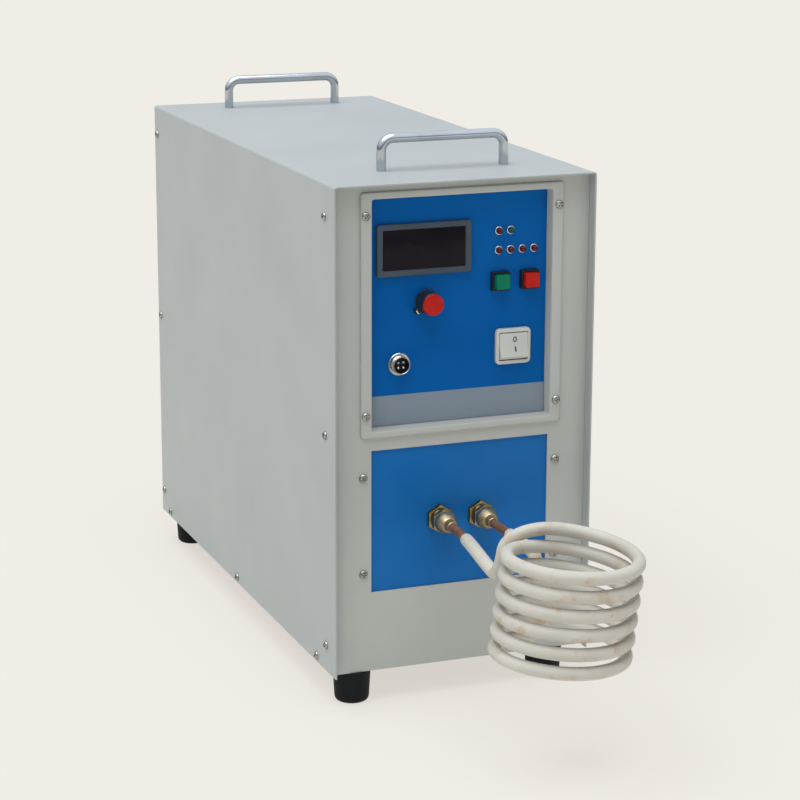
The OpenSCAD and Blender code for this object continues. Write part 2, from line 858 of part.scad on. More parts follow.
module cover_shell() {
    color(case_grey) on_case() difference() {
        translate([0, case_d, 0]) rotate([90, 0, 0]) linear_extrude(case_d) difference() {
            u_outline(case_w, case_h, bend_r);
            translate([0, -cut]) u_outline(case_w - 2 * sheet_t, case_h - sheet_t + cut, bend_r - sheet_t);
        }
        for (p = cover_screw_places) {
            translate([-half_w - cut, p[0], p[1]]) rotate([0, 90, 0])
                cylinder(r = m4_hole_r, h = case_w + 2 * cut);
        }
        for (y = handle_places, s = [-1, 1]) {
            translate([handle_offset + s * handle_span / 2, y, case_h - sheet_t - cut])
                cylinder(r = m6_hole_r, h = sheet_t + 2 * cut);
        }
    }
}

module base_pan() {
    color(case_grey) on_case() difference() {
        translate([-panel_w / 2, pan_y0, 0]) cube([panel_w, pan_y1 - pan_y0, pan_edge_h]);
        translate([sheet_t - panel_w / 2, pan_y0 - cut, sheet_t])
            cube([panel_w - 2 * sheet_t, pan_y1 - pan_y0 + 2 * cut, pan_edge_h]);
        for (p = foot_places) {
            translate([p[0], p[1], -cut]) cylinder(r = m6_hole_r, h = sheet_t + 2 * cut);
        }
        for (p = cover_screw_places) {
            if (p[1] < pan_edge_h) {
                translate([-half_w - cut, p[0], p[1]]) rotate([0, 90, 0])
                    cylinder(r = m4_hole_r, h = case_w + 2 * cut);
            }
        }
    }
}

// Panel with side flanges that run towards +Y; turned round for the rear
module flanged_panel() {
    translate([-panel_w / 2, 0, 0]) cube([panel_w, sheet_t, panel_top]);
    for (s = [0, 1]) {
        translate([s * (panel_w - sheet_t) - panel_w / 2, 0, flange_z])
            cube([sheet_t, flange_d, panel_top - flange_z]);
    }
}

// Holes for the cover screws that go into a panel's flanges
module flange_holes() {
    for (p = cover_screw_places) {
        if (p[1] > pan_edge_h) {
            translate([-half_w - cut, p[0], p[1]]) rotate([0, 90, 0])
                cylinder(r = m4_hole_r, h = case_w + 2 * cut);
        }
    }
}

module front_panel() {
    color(frame_grey) on_case() difference() {
        translate([0, panel_y, 0]) flanged_panel();
        upright(0, bezel_z, panel_y - cut, panel_back + cut)
            round_rect(tray_w + 2 * fit_gap, tray_h + 2 * fit_gap, recess_corner_r + sheet_t + fit_gap);
        upright(0, board_open_z + board_open_h / 2, panel_y - cut, panel_back + cut)
            square([board_open_w, board_open_h], center = true);
        for (p = concat(bezel_screw_places, board_screw_places)) {
            bar_y(p[0], p[1], m4_hole_r, panel_y - cut, panel_back + cut);
        }
        flange_holes();
    }
}

module rear_panel() {
    color(case_grey) on_case() difference() {
        translate([0, rear_face, 0]) mirror([0, 1, 0]) flanged_panel();
        bar_y(0, fan_z, rear_open_r, rear_y - cut, rear_face + cut);
        for (p = fan_screw_places) {
            bar_y(p[0], p[1], m4_hole_r, rear_y - cut, rear_face + cut);
        }
        for (i = [0:louvre_count - 1]) {
            upright((i - (louvre_count - 1) / 2) * louvre_step, louvre_z, rear_y - cut, rear_face + cut)
                round_rect(louvre_w, louvre_h, louvre_w / 2 - fit_gap);
        }
        for (s = [-1, 1]) {
            bar_y(s * spigot_span / 2, spigot_z, spigot_r + slip_gap, rear_y - cut, rear_face + cut);
        }
        bar_y(gland_x, gland_z, gland_thread_r + fit_gap, rear_y - cut, rear_face + cut);
        bar_y(stud_x, stud_z, stud_r + fit_gap, rear_y - cut, rear_face + cut);
        flange_holes();
    }
}

// Shelf on four legs, with an upright plate at its back edge for the control board
module inner_frame() {
    color(case_grey) on_case() {
        difference() {
            translate([-shelf_w / 2, shelf_y0, pan_top]) cube([shelf_w, shelf_d, shelf_z - pan_top]);
            translate([sheet_t - shelf_w / 2, shelf_y0 - cut, pan_top - cut])
                cube([shelf_w - 2 * sheet_t, shelf_d + 2 * cut, shelf_z - pan_top - sheet_t + cut]);
            translate([-shelf_w / 2 - cut, shelf_y0 + leg_w, pan_top + leg_w])
                cube([shelf_w + 2 * cut, shelf_d - 2 * leg_w, shelf_z - pan_top - 2 * leg_w]);
        }
        difference() {
            translate([-plate_w / 2, shelf_y1 - sheet_t, shelf_z - leg_w])
                cube([plate_w, sheet_t, board_plate_z - shelf_z + leg_w]);
            for (sx = [-1, 1], sz = [-1, 1]) {
                bar_y(sx * (pcb_w / 2 - pcb_inset), pcb_z + sz * (pcb_h / 2 - pcb_inset), m4_hole_r,
                    shelf_y1 - sheet_t - cut, shelf_y1 + cut);
            }
        }
    }
}

// Openings in the tray floor and the control plate for everything mounted there
module instrument_holes() {
    translate([meter_x, meter_z])
        square([meter_shell_w + 2 * fit_gap, meter_shell_h + 2 * fit_gap], center = true);
    for (p = lamp_places) {
        translate(p) circle(r = lamp_barrel_r + fit_gap);
    }
    for (x = [start_x, stop_x]) {
        translate([x, button_z]) circle(r = button_barrel_r + fit_gap);
    }
    translate([knob_x, knob_z]) circle(r = pot_bush_r + fit_gap);
    translate([rocker_x, rocker_z])
        square([pocket_w + 2 * (rocker_wall + fit_gap), pocket_h + 2 * (rocker_wall + fit_gap)], center = true);
    translate([socket_x, socket_z]) circle(r = socket_barrel_r + fit_gap);
}

module control_bezel() {
    color(frame_grey) on_case() difference() {
        union() {
            upright(0, bezel_z, bezel_face, panel_y) round_rect(bezel_w, bezel_h, bezel_corner_r);
            upright(0, bezel_z, bezel_face, floor_back) round_rect(tray_w, tray_h, recess_corner_r + sheet_t);
        }
        upright(0, bezel_z, bezel_face - cut, floor_y) round_rect(recess_w, recess_h, recess_corner_r);
        upright(0, 0, floor_y - cut, floor_back + cut) instrument_holes();
        for (p = bezel_screw_places) {
            bar_y(p[0], p[1], m4_hole_r, bezel_face - cut, panel_y + cut);
        }
    }
}

module control_plate() {
    color(plate_blue) on_case() difference() {
        upright(0, bezel_z, plate_y, floor_y - slip_gap)
            round_rect(recess_w - 2 * fit_gap, recess_h - 2 * fit_gap, recess_corner_r);
        upright(0, 0, plate_y - cut, floor_y + cut) instrument_holes();
    }
}

// Grey strip stuck along the bottom of the plate
module title_strip() {
    color(strip_grey) on_case()
        upright(0, bezel_z - recess_h / 2 + fit_gap + strip_h / 2, plate_y - fit_gap, plate_y)
            square([recess_w - 4 * fit_gap, strip_h], center = true);
}

module terminal_board() {
    color(board_blue) on_case() difference() {
        upright(0, board_z, board_face, board_back) square([board_w, board_h], center = true);
        for (s = [-1, 1]) {
            bar_y(s * fitting_span / 2, fitting_z, thread_r + fit_gap, board_face - cut, board_back + cut);
        }
        for (p = board_screw_places) {
            bar_y(p[0], p[1], m4_hole_r, board_face - cut, board_back + cut);
        }
    }
}

module screw_set_y(places, face) {
    for (p = places) {
        translate([p[0], face, p[1]]) rotate([90, 0, 0]) pan_screw(m4_head_r, m4_head_h, m4_r, m4_len);
    }
}

module bezel_screws() {
    color(nickel) on_case() screw_set_y(bezel_screw_places, bezel_face);
}

module board_screws() {
    color(nickel) on_case() screw_set_y(board_screw_places, panel_y);
}

module cover_screws() {
    color(nickel) on_case() for (p = cover_screw_places, s = [-1, 1]) {
        translate([s * half_w, p[0], p[1]]) rotate([0, s * 90, 0])
            pan_screw(m4_head_r, m4_head_h, m4_r, m4_len);
    }
}

// Bent rod handle standing on the cover, with a screw hole up each leg
module handle(y) {
    half = handle_span / 2;
    top = handle_h - handle_rod_r;
    translate([handle_offset, y, case_h]) difference() {
        union() {
            for (s = [0, 1]) {
                mirror([s, 0, 0]) translate([half, 0, 0]) {
                    cylinder(r = handle_rod_r, h = top - handle_bend_r);
                    translate([-handle_bend_r, 0, top - handle_bend_r]) rotate([90, 0, 0])
                        rotate_extrude(angle = 90) translate([handle_bend_r, 0]) circle(r = handle_rod_r);
                }
            }
            translate([handle_bend_r - half, 0, top]) rotate([0, 90, 0])
                cylinder(r = handle_rod_r, h = handle_span - 2 * handle_bend_r);
        }
        for (s = [-1, 1]) {
            translate([s * half, 0, -cut]) cylinder(r = m6_r, h = handle_bore_d + cut);
        }
    }
}

module handle_front() {
    color(chrome) on_case() handle(handle_places[0]);
}

module handle_rear() {
    color(chrome) on_case() handle(handle_places[1]);
}

module handle_screws() {
    color(nickel) on_case() for (y = handle_places, s = [-1, 1]) {
        translate([handle_offset + s * handle_span / 2, y, case_h - sheet_t]) rotate([180, 0, 0])
            pan_screw(m6_head_r, m6_head_h, m6_r - slip_gap, handle_screw_len);
    }
}

module foot(place) {
    low_r = foot_r - foot_taper;
    translate([place[0], place[1], -foot_h]) difference() {
        union() {
            translate([0, 0, foot_rim_r]) cylinder(r1 = low_r, r2 = foot_r, h = foot_h - foot_rim_r);
            rotate_extrude() {
                square([low_r - foot_rim_r, foot_rim_r]);
                intersection() {
                    translate([low_r - foot_rim_r, foot_rim_r]) circle(r = foot_rim_r);
                    square([low_r, foot_rim_r]);
                }
            }
        }
        translate([0, 0, -cut]) cylinder(r = foot_core_r, h = foot_recess + cut);
        cylinder(r = m6_hole_r, h = foot_h + cut);
    }
}

module foot_front_left() {
    color(rubber_black) on_case() foot(foot_places[0]);
}

module foot_front_right() {
    color(rubber_black) on_case() foot(foot_places[1]);
}

module foot_rear_left() {
    color(rubber_black) on_case() foot(foot_places[2]);
}

module foot_rear_right() {
    color(rubber_black) on_case() foot(foot_places[3]);
}

module foot_screws() {
    color(nickel) on_case() for (p = foot_places) {
        translate([p[0], p[1], foot_recess - foot_h]) rotate([180, 0, 0])
            pan_screw(m6_head_r, m6_head_h, m6_r, foot_h - foot_recess + pan_edge_h / 2);
    }
}

module meter_frame() {
    color(slate) on_case() difference() {
        union() {
            upright(meter_x, meter_z, plate_y - meter_rise + meter_step, plate_y)
                round_rect(meter_w, meter_h, meter_corner_r);
            upright(meter_x, meter_z, plate_y - meter_rise, plate_y)
                round_rect(meter_w - 2 * meter_step, meter_h - 2 * meter_step, meter_corner_r);
        }
        upright(meter_x, meter_z, plate_y - meter_rise - cut, plate_y + cut)
            square([window_w, window_h], center = true);
    }
}

module meter_window() {
    color(window_dark) on_case()
        upright(meter_x, meter_z, plate_y - meter_rise + window_sink, plate_y - fit_gap)
            square([window_w - 2 * fit_gap, window_h - 2 * fit_gap], center = true);
}

module meter_housing() {
    color(plastic_black) on_case() upright(meter_x, meter_z, plate_y, plate_y + meter_depth)
        round_rect(meter_shell_w, meter_shell_h, meter_corner_r);
}

module lamp_holders() {
    color(chrome) on_case() for (p = lamp_places) {
        difference() {
            union() {
                bar_y(p[0], p[1], lamp_r, plate_y - lamp_flange_t, plate_y);
                bar_y(p[0], p[1], lamp_barrel_r, plate_y - lamp_flange_t, plate_y + lamp_len);
            }
            bar_y(p[0], p[1], lens_r + lens_gap, plate_y - lamp_flange_t - cut, plate_y + lamp_len + cut);
        }
    }
}

module lens(p) {
    bar_y(p[0], p[1], lens_r, plate_y - lamp_flange_t - lens_rise, plate_y + lamp_len);
    translate([p[0], plate_y - lamp_flange_t - lens_rise, p[1]]) sphere(r = lens_r);
}

module red_lenses() {
    color(lamp_red) on_case() for (p = red_lamp_places) {
        lens(p);
    }
}

module green_lens() {
    color(lamp_green) on_case() lens(green_lamp_place);
}

module button_cap(x) {
    upright(x, button_z, cap_face, cap_back) round_rect(cap_w, cap_w, cap_corner_r);
}

module button_switch(x) {
    difference() {
        upright(x, button_z, button_face, plate_y) round_rect(button_w, button_w, button_corner_r);
        upright(x, button_z, button_face - cut, button_face + well_depth)
            round_rect(cap_w + 2 * cap_gap, cap_w + 2 * cap_gap, cap_corner_r);
    }
    bar_y(x, button_z, button_barrel_r, plate_y - slip_gap, plate_y + button_barrel_len);
}

module start_cap() {
    color(cap_green) on_case() button_cap(start_x);
}

module stop_cap() {
    color(cap_red) on_case() button_cap(stop_x);
}

module start_switch() {
    color(plastic_black) on_case() button_switch(start_x);
}

module stop_switch() {
    color(plastic_black) on_case() button_switch(stop_x);
}

// Knob with a skirt, a fluted grip and a pointer wing
module knob_body() {
    back = plate_y - knob_back_gap;
    grip_face = knob_face + knob_cap_t;
    skirt_face = back - knob_skirt_t;
    flute_ring = knob_r + grip_r / 2;
    color(plastic_black) on_case() difference() {
        union() {
            difference() {
                bar_y(knob_x, knob_z, knob_r, grip_face, back - slip_gap);
                for (i = [0:grip_count - 1]) {
                    a = i * 360 / grip_count;
                    bar_y(knob_x + flute_ring * cos(a), knob_z + flute_ring * sin(a), grip_r,
                        grip_face - cut, skirt_face + cut);
                }
            }
            bar_y(knob_x, knob_z, knob_skirt_r, skirt_face, back);
            translate([knob_x, 0, knob_z]) rotate([0, pointer_angle, 0]) upright(0, 0, back - pointer_t, back) {
                translate([-pointer_w / 2, 0]) square([pointer_w, pointer_reach - pointer_w / 2]);
                translate([0, pointer_reach - pointer_w / 2]) circle(r = pointer_w / 2);
            }
        }
        bar_y(knob_x, knob_z, shaft_r + shaft_gap, grip_face + knob_cap_t, back + cut);
        bar_y(knob_x, knob_z, knob_nut_r + 2 * fit_gap, back - knob_nut_t - fit_gap, back + cut);
    }
}

module knob_cap() {
    color(cap_red) on_case() {
        bar_y(knob_x, knob_z, knob_cap_r, knob_face + knob_cap_t / 2, knob_face + knob_cap_t);
        cone_y(knob_x, knob_z, knob_cap_r - knob_cap_t / 2, knob_cap_r, knob_face, knob_face + knob_cap_t / 2);
    }
}

module pot_shaft() {
    color(nickel) on_case()
        bar_y(knob_x, knob_z, shaft_r, knob_face + 2 * knob_cap_t + fit_gap, floor_back + pot_body_t / 2);
}

module pot_body() {
    color(plastic_black) on_case() difference() {
        union() {
            bar_y(knob_x, knob_z, pot_body_r, floor_back + fit_gap, floor_back + pot_body_t);
            bar_y(knob_x, knob_z, pot_bush_r, plate_y - knob_nut_t, floor_back + pot_body_t);
            hex_y(knob_x, knob_z, 2 * knob_nut_r * cos(30), plate_y - knob_nut_t, plate_y - slip_gap);
        }
        bar_y(knob_x, knob_z, shaft_r + shaft_gap, plate_y - knob_nut_t - cut,
            floor_back + pot_body_t / 2 + fit_gap);
    }
}

module rocker_frame() {
    back = plate_y + rocker_depth;
    outer_w = pocket_w + 2 * rocker_wall;
    outer_h = pocket_h + 2 * rocker_wall;
    color(rocker_grey) on_case() difference() {
        union() {
            upright(rocker_x, rocker_z, plate_y - rocker_rise + meter_step, plate_y)
                round_rect(rocker_w, rocker_h, rocker_corner_r);
            upright(rocker_x, rocker_z, plate_y - rocker_rise, plate_y)
                round_rect(rocker_w - 2 * meter_step, rocker_h - 2 * meter_step, rocker_corner_r - meter_step);
            upright(rocker_x, rocker_z, plate_y - fit_gap, back) square([outer_w, outer_h], center = true);
        }
        upright(rocker_x, rocker_z, plate_y - rocker_rise - cut, plate_y + key_pivot + key_end_r)
            square([pocket_w, pocket_h], center = true);
        translate([rocker_x - rocker_w, plate_y + key_pivot, rocker_z]) rotate([0, 90, 0])
            cylinder(r = key_pin_r + shaft_gap, h = 2 * rocker_w);
    }
}

// Key: a circle's slice with a front of two flats that meet at the middle
module key_outline() {
    lift = key_end_r * tan(key_tilt);
    intersection() {
        circle(r = key_end_r);
        polygon([
            [-key_front, 0],
            [-key_front - lift, key_end_r],
            [key_back, key_end_r],
            [key_back, -key_end_r],
            [-key_front - lift, -key_end_r]
        ]);
    }
}

module rocker_key() {
    color(rocker_grey) on_case()
        translate([rocker_x, plate_y + key_pivot, rocker_z]) rotate([-key_tilt, 0, 0]) {
            translate([-key_w / 2, 0, 0]) rotate([90, 0, 90]) linear_extrude(key_w) key_outline();
            translate([-pocket_w / 2 - rocker_wall, 0, 0]) rotate([0, 90, 0])
                cylinder(r = key_pin_r, h = pocket_w + 2 * rocker_wall);
        }
}

module socket_shell() {
    flange_face = plate_y - socket_flange_t;
    color(chrome) on_case() difference() {
        union() {
            bar_y(socket_x, socket_z, socket_r, flange_face, plate_y);
            bar_y(socket_x, socket_z, socket_collar_r, flange_face - collar_len, plate_y);
            bar_y(socket_x, socket_z, socket_barrel_r, flange_face, plate_y + socket_len);
            hex_y(socket_x, socket_z, 2 * socket_r * cos(30), floor_back + fit_gap,
                floor_back + socket_flange_t + fit_gap);
        }
        bar_y(socket_x, socket_z, socket_bore_r, flange_face - collar_len - cut, plate_y + socket_len + cut);
    }
}

module socket_insert() {
    color(plastic_black) on_case() difference() {
        bar_y(socket_x, socket_z, socket_bore_r - slip_gap, plate_y, plate_y + socket_len);
        translate([socket_x - socket_key_w / 2, plate_y - cut, socket_z + socket_pin_ring + socket_pin_r])
            cube([socket_key_w, cut + socket_pin_len, socket_bore_r]);
        for (a = [45:90:315]) {
            bar_y(socket_x + socket_pin_ring * cos(a), socket_z + socket_pin_ring * sin(a),
                socket_pin_r + slip_gap, plate_y - cut, plate_y + socket_len + cut);
        }
    }
}

module socket_pins() {
    color(nickel) on_case() for (a = [45:90:315]) {
        bar_y(socket_x + socket_pin_ring * cos(a), socket_z + socket_pin_ring * sin(a), socket_pin_r,
            plate_y - socket_pin_len, plate_y + socket_len + socket_pin_len);
    }
}

// Bulkhead fitting: hexagon, thread through the board, nut and bus block behind it
module bulkhead(x) {
    difference() {
        union() {
            hex_y(x, fitting_z, body_hex_w, hex_face, hex_back);
            bar_y(x, fitting_z, thread_r, hex_face, fitting_back);
            hex_y(x, fitting_z, lock_nut_w, board_back + fit_gap, board_back + fit_gap + inner_nut_t);
        }
        bar_y(x, fitting_z, tube_r + tube_gap, hex_face - cut, lead_y0 + fit_gap);
        bar_y(x, fitting_z, water_bore_r, hex_face, fitting_back + cut);
    }
}

module fitting_left() {
    color(brass) on_case() bulkhead(left_x);
}

module fitting_right() {
    color(brass) on_case() bulkhead(right_x);
}

module lock_nuts() {
    color(brass) on_case() for (x = [left_x, right_x]) {
        difference() {
            hex_y(x, fitting_z, lock_nut_w, nut_face, nut_back);
            bar_y(x, fitting_z, thread_r + slip_gap, nut_face - cut, nut_back + cut);
        }
    }
}

// Conical flare nut with the brazed ferrule in front of it
module flare_nut(x) {
    difference() {
        union() {
            cone_y(x, fitting_z, flare_r2, flare_r1, flare_face, flare_back);
            bar_y(x, fitting_z, ferrule_r, flare_face - ferrule_len, flare_back);
        }
        bar_y(x, fitting_z, tube_r + tube_gap, flare_face - ferrule_len - cut, flare_back + cut);
    }
}

module flare_nut_left() {
    color(brass) on_case() flare_nut(left_x);
}

module flare_nut_right() {
    color(brass) on_case() flare_nut(right_x);
}

module coil_tube() {
    color(copper) on_case() solid_tube(coil_route, tube_r);
}

module coil_sleeve() {
    color(sleeve_cream) on_case() hollow_tube(sleeve_route, sleeve_r, sleeve_bore);
}

module transformer_core() {
    color(ferrite_grey) on_case() difference() {
        translate([-core_w / 2, core_y, core_z - core_h / 2]) cube([core_w, core_d, core_h]);
        for (s = [-1, 1]) {
            translate([s * core_w / 4 - core_window_w / 4, core_y - cut, core_z - core_window_h / 2])
                cube([core_window_w / 2, core_d + 2 * cut, core_window_h]);
        }
    }
}

// Copper secondary: a bus bar from each fitting to the two sides of one wide turn
module transformer_winding() {
    color(copper) on_case() {
        for (s = [-1, 1]) {
            translate([s * fitting_span / 2 - bus_w / 2, fitting_back + fit_gap, fitting_z - bus_w / 2])
                cube([bus_w, core_y - fitting_back - 2 * fit_gap, bus_w]);
        }
        for (s = [-1, 1]) {
            translate([s * core_w / 4 - winding_w / 2, core_y + fit_gap, core_z - core_window_h / 2 + fit_gap])
                cube([winding_w, core_d + winding_t, core_window_h - 2 * fit_gap]);
        }
        translate([-core_w / 4, core_y + core_d + fit_gap, core_z - core_window_h / 2 + fit_gap])
            cube([core_w / 2, winding_t - fit_gap, core_window_h - 2 * fit_gap]);
    }
}

module tank_capacitors() {
    color(capacitor_blue) on_case() for (i = [-1, 0, 1]) {
        translate([i * tank_cap_x, tank_cap_y, shelf_z + fit_gap]) {
            cylinder(r = tank_cap_r, h = tank_cap_h);
            cylinder(r = lug_r, h = tank_cap_h + lug_h);
        }
    }
}

module cold_plate() {
    color(aluminium) on_case() difference() {
        translate([-cold_w / 2, cold_y, pan_top]) cube([cold_w, cold_d, cold_t]);
        for (s = [-1, 1]) {
            bar_y(s * hose_x, hose_z, water_bore_r, cold_y - cut, cold_y + cold_d + cut);
        }
    }
}

module power_modules() {
    color(plastic_black) on_case() for (i = [0:module_count - 1]) {
        y = cold_y + cold_d / 2 + (i - (module_count - 1) / 2) * module_step;
        translate([0, y, cold_top + fit_gap]) {
            translate([-module_w / 2, -module_d / 2, 0]) cube([module_w, module_d, module_h]);
            for (k = [-1, 0, 1]) {
                translate([k * module_w / 3, 0, 0]) cylinder(r = lug_r, h = module_h + lug_h);
            }
        }
    }
}

module filter_capacitors() {
    color(capacitor_blue) on_case() for (s = [-1, 1]) {
        translate([s * filter_cap_x, filter_cap_y, pan_top]) {
            cylinder(r = filter_cap_r, h = filter_cap_h);
            for (k = [-1, 1]) {
                translate([0, k * filter_cap_r / 2, 0]) cylinder(r = lug_r, h = filter_cap_h + lug_h);
            }
        }
    }
}

// Circuit board on four standoffs, with a heat sink and three large parts on it
module control_board() {
    sink_w = 24;
    sink_h = 24;
    sink_t = 18;
    column_share = 0.28;
    row_share = 0.2;
    color(board_green) on_case() {
        upright(0, pcb_z, pcb_y, pcb_y + pcb_t) square([pcb_w, pcb_h], center = true);
        for (sx = [-1, 1], sz = [-1, 1]) {
            x = sx * (pcb_w / 2 - pcb_inset);
            z = pcb_z + sz * (pcb_h / 2 - pcb_inset);
            bar_y(x, z, standoff_r, pcb_y, shelf_y1 - sheet_t - slip_gap);
        }
        for (k = [-1, 0, 1]) {
            upright(k * column_share * pcb_w, pcb_z - row_share * pcb_h, pcb_y - sink_t, pcb_y)
                square([sink_w, sink_h], center = true);
            bar_y(k * column_share * pcb_w, pcb_z + row_share * pcb_h, sink_t / 2, pcb_y - sink_h, pcb_y);
        }
    }
}

module fan_frame() {
    color(plastic_black) on_case() {
        difference() {
            upright(0, fan_z, fan_y0, fan_y1) round_rect(fan_w, fan_w, fan_corner_r);
            bar_y(0, fan_z, fan_bore_r, fan_y0 - cut, fan_y1 + cut);
            for (p = fan_screw_places) {
                bar_y(p[0], p[1], m4_hole_r, fan_y0 - cut, fan_y1 + cut);
            }
        }
        for (a = [0:120:240]) {
            translate([0, fan_y1 - arm_t, fan_z]) rotate([0, a, 0])
                translate([-arm_w / 2, 0, fan_hub_r - cut])
                    cube([arm_w, arm_t - arm_sink, fan_bore_r - fan_hub_r + 2 * cut]);
        }
        bar_y(0, fan_z, fan_hub_r, fan_y1 - arm_t - arm_sink, fan_y1);
        bar_y(0, fan_z, axle_r, fan_y0 + rotor_inset, fan_y1 - arm_t);
    }
}

module fan_rotor() {
    y0 = fan_y0 + rotor_inset;
    tip_r = fan_bore_r - blade_tip_gap;
    color(plastic_black) on_case() difference() {
        union() {
            bar_y(0, fan_z, fan_hub_r, y0, y0 + rotor_t);
            intersection() {
                bar_y(0, fan_z, tip_r, y0, y0 + rotor_t);
                for (i = [0:fan_blades - 1]) {
                    translate([0, y0 + rotor_t / 2, fan_z]) rotate([0, i * 360 / fan_blades, 0])
                        rotate([0, 0, blade_pitch])
                            translate([-blade_chord / 2, -blade_t / 2, fan_hub_r - cut])
                                cube([blade_chord, blade_t, tip_r]);
                }
            }
        }
        bar_y(0, fan_z, axle_r + axle_gap, y0 - cut, y0 + rotor_t + cut);
    }
}

// Finger guard: rings on four spokes, screwed on at the fan's corners
module fan_guard() {
    y = rear_face + fit_gap + guard_rod_r;
    reach = (fan_w / 2 - fan_screw_in) * sqrt(2);
    color(chrome) on_case() {
        for (i = [1:guard_rings]) {
            translate([0, y, fan_z]) rotate([90, 0, 0]) rotate_extrude()
                translate([i * fan_bore_r / guard_rings, 0]) circle(r = guard_rod_r, $fn = 16);
        }
        for (a = [45:90:315]) {
            translate([0, y, fan_z]) rotate([0, a, 0]) translate([0, 0, fan_bore_r / guard_rings])
                cylinder(r = guard_rod_r, h = reach - fan_bore_r / guard_rings);
        }
        for (p = fan_screw_places) {
            bar_y(p[0], p[1], m4_head_r, rear_face + fit_gap, rear_face + fit_gap + 2 * guard_rod_r);
            bar_y(p[0], p[1], m4_r, fan_y0, rear_face + fit_gap);
        }
    }
}

module water_fittings() {
    color(brass) on_case() for (s = [-1, 1]) {
        x = s * spigot_span / 2;
        difference() {
            union() {
                bar_y(x, spigot_z, spigot_r, rear_y - spigot_tail, rear_face + spigot_len);
                hex_y(x, spigot_z, spigot_hex_w, rear_face + fit_gap, rear_face + spigot_hex_t);
                hex_y(x, spigot_z, spigot_hex_w, rear_y - spigot_hex_t, rear_y - fit_gap);
            }
            bar_y(x, spigot_z, water_bore_r, rear_y - spigot_tail - cut, rear_face + spigot_len + cut);
        }
    }
}

// Hose laid along straight runs with round elbows
module hose(points, r) {
    for (i = [0:len(points) - 2]) {
        a = points[i];
        d = points[i + 1] - a;
        translate(a) rotate([0, acos(d[2] / norm(d)), atan2(d[1], d[0])]) cylinder(r = r, h = norm(d));
    }
    for (i = [1:len(points) - 2]) {
        translate(points[i]) sphere(r = r);
    }
}

module water_hoses() {
    rear_end = rear_y - spigot_tail - fit_gap;
    turn_y = cold_y + cold_d + hose_r + hose_turn_clear;
    color(hose_blue) on_case() for (s = [-1, 1]) {
        hose([
            [s * spigot_span / 2, rear_end, spigot_z],
            [s * spigot_span / 2, rear_end - 2 * hose_r, spigot_z],
            [s * (half_w - sheet_t - flange_d), rear_end - 2 * hose_r, spigot_z],
            [s * (half_w - sheet_t - flange_d), turn_y, spigot_z],
            [s * (half_w - sheet_t - flange_d), turn_y, hose_z],
            [s * hose_x, turn_y, hose_z],
            [s * hose_x, cold_y + cold_d + fit_gap, hose_z]
        ], hose_r);
        hose([
            [s * hose_x, cold_y - fit_gap, hose_z],
            [s * hose_x, hose_y, hose_z],
            [s * hose_x, hose_y, fitting_z],
            [s * (fitting_span / 2 + bus_w / 2 + fit_gap), hose_y, fitting_z]
        ], hose_r);
    }
}

module cable_gland() {
    color(plastic_black) on_case() difference() {
        union() {
            hex_y(gland_x, gland_z, gland_hex_w, rear_face + fit_gap, rear_face + gland_hex_t);
            cone_y(gland_x, gland_z, gland_cap_r1, gland_cap_r2, rear_face + gland_hex_t,
                rear_face + gland_hex_t + gland_cap_t);
            bar_y(gland_x, gland_z, gland_thread_r, rear_y - gland_tail, rear_face + gland_hex_t);
            hex_y(gland_x, gland_z, gland_hex_w, rear_y - gland_hex_t, rear_y - fit_gap);
        }
        bar_y(gland_x, gland_z, gland_bore_r, rear_y - gland_tail - cut,
            rear_face + gland_hex_t + gland_cap_t + cut);
    }
}

module earth_stud() {
    color(brass) on_case() {
        bar_y(stud_x, stud_z, stud_r, rear_y - stud_nut_t - fit_gap, rear_face + stud_len);
        hex_y(stud_x, stud_z, stud_nut_w, rear_y - stud_nut_t, rear_y - fit_gap);
        bar_y(stud_x, stud_z, stud_washer_r, rear_face + fit_gap, rear_face + stud_washer_t);
        hex_y(stud_x, stud_z, stud_nut_w, rear_face + stud_washer_t, rear_face + stud_washer_t + stud_nut_t);
    }
}

cover_shell();
base_pan();
front_panel();
rear_panel();
inner_frame();
control_bezel();
control_plate();
title_strip();
terminal_board();
bezel_screws();
board_screws();
cover_screws();
handle_front();
handle_rear();
handle_screws();
foot_front_left();
foot_front_right();
foot_rear_left();
foot_rear_right();
foot_screws();
meter_frame();
meter_window();
meter_housing();
lamp_holders();
red_lenses();
green_lens();
start_cap();
stop_cap();
start_switch();
stop_switch();
knob_body();
knob_cap();
pot_shaft();
pot_body();
rocker_frame();
rocker_key();
socket_shell();
socket_insert();
socket_pins();
fitting_left();
fitting_right();
lock_nuts();
flare_nut_left();
flare_nut_right();
coil_tube();
coil_sleeve();
transformer_core();
transformer_winding();
tank_capacitors();
cold_plate();
power_modules();
filter_capacitors();
control_board();
fan_frame();
fan_rotor();
fan_guard();
water_fittings();
water_hoses();
cable_gland();
earth_stud();
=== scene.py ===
# %% [markdown]
# # An induction heating machine, dressed piece by piece
# A bench-top induction heater: a grey sheet-metal case on rubber feet, a blue control plate with
# its instruments, and a water-cooled copper coil in a white sleeve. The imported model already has
# every part at its real size. This lesson gives each part the edges, curves and finish that the
# eye expects, without moving anything. The first step loads that model as a fixed frame.

# %% Load the frame
from math import atan2, cos, hypot, pi, radians, sin, tan

import bmesh
import bpy
from mathutils import Matrix, Vector, noise


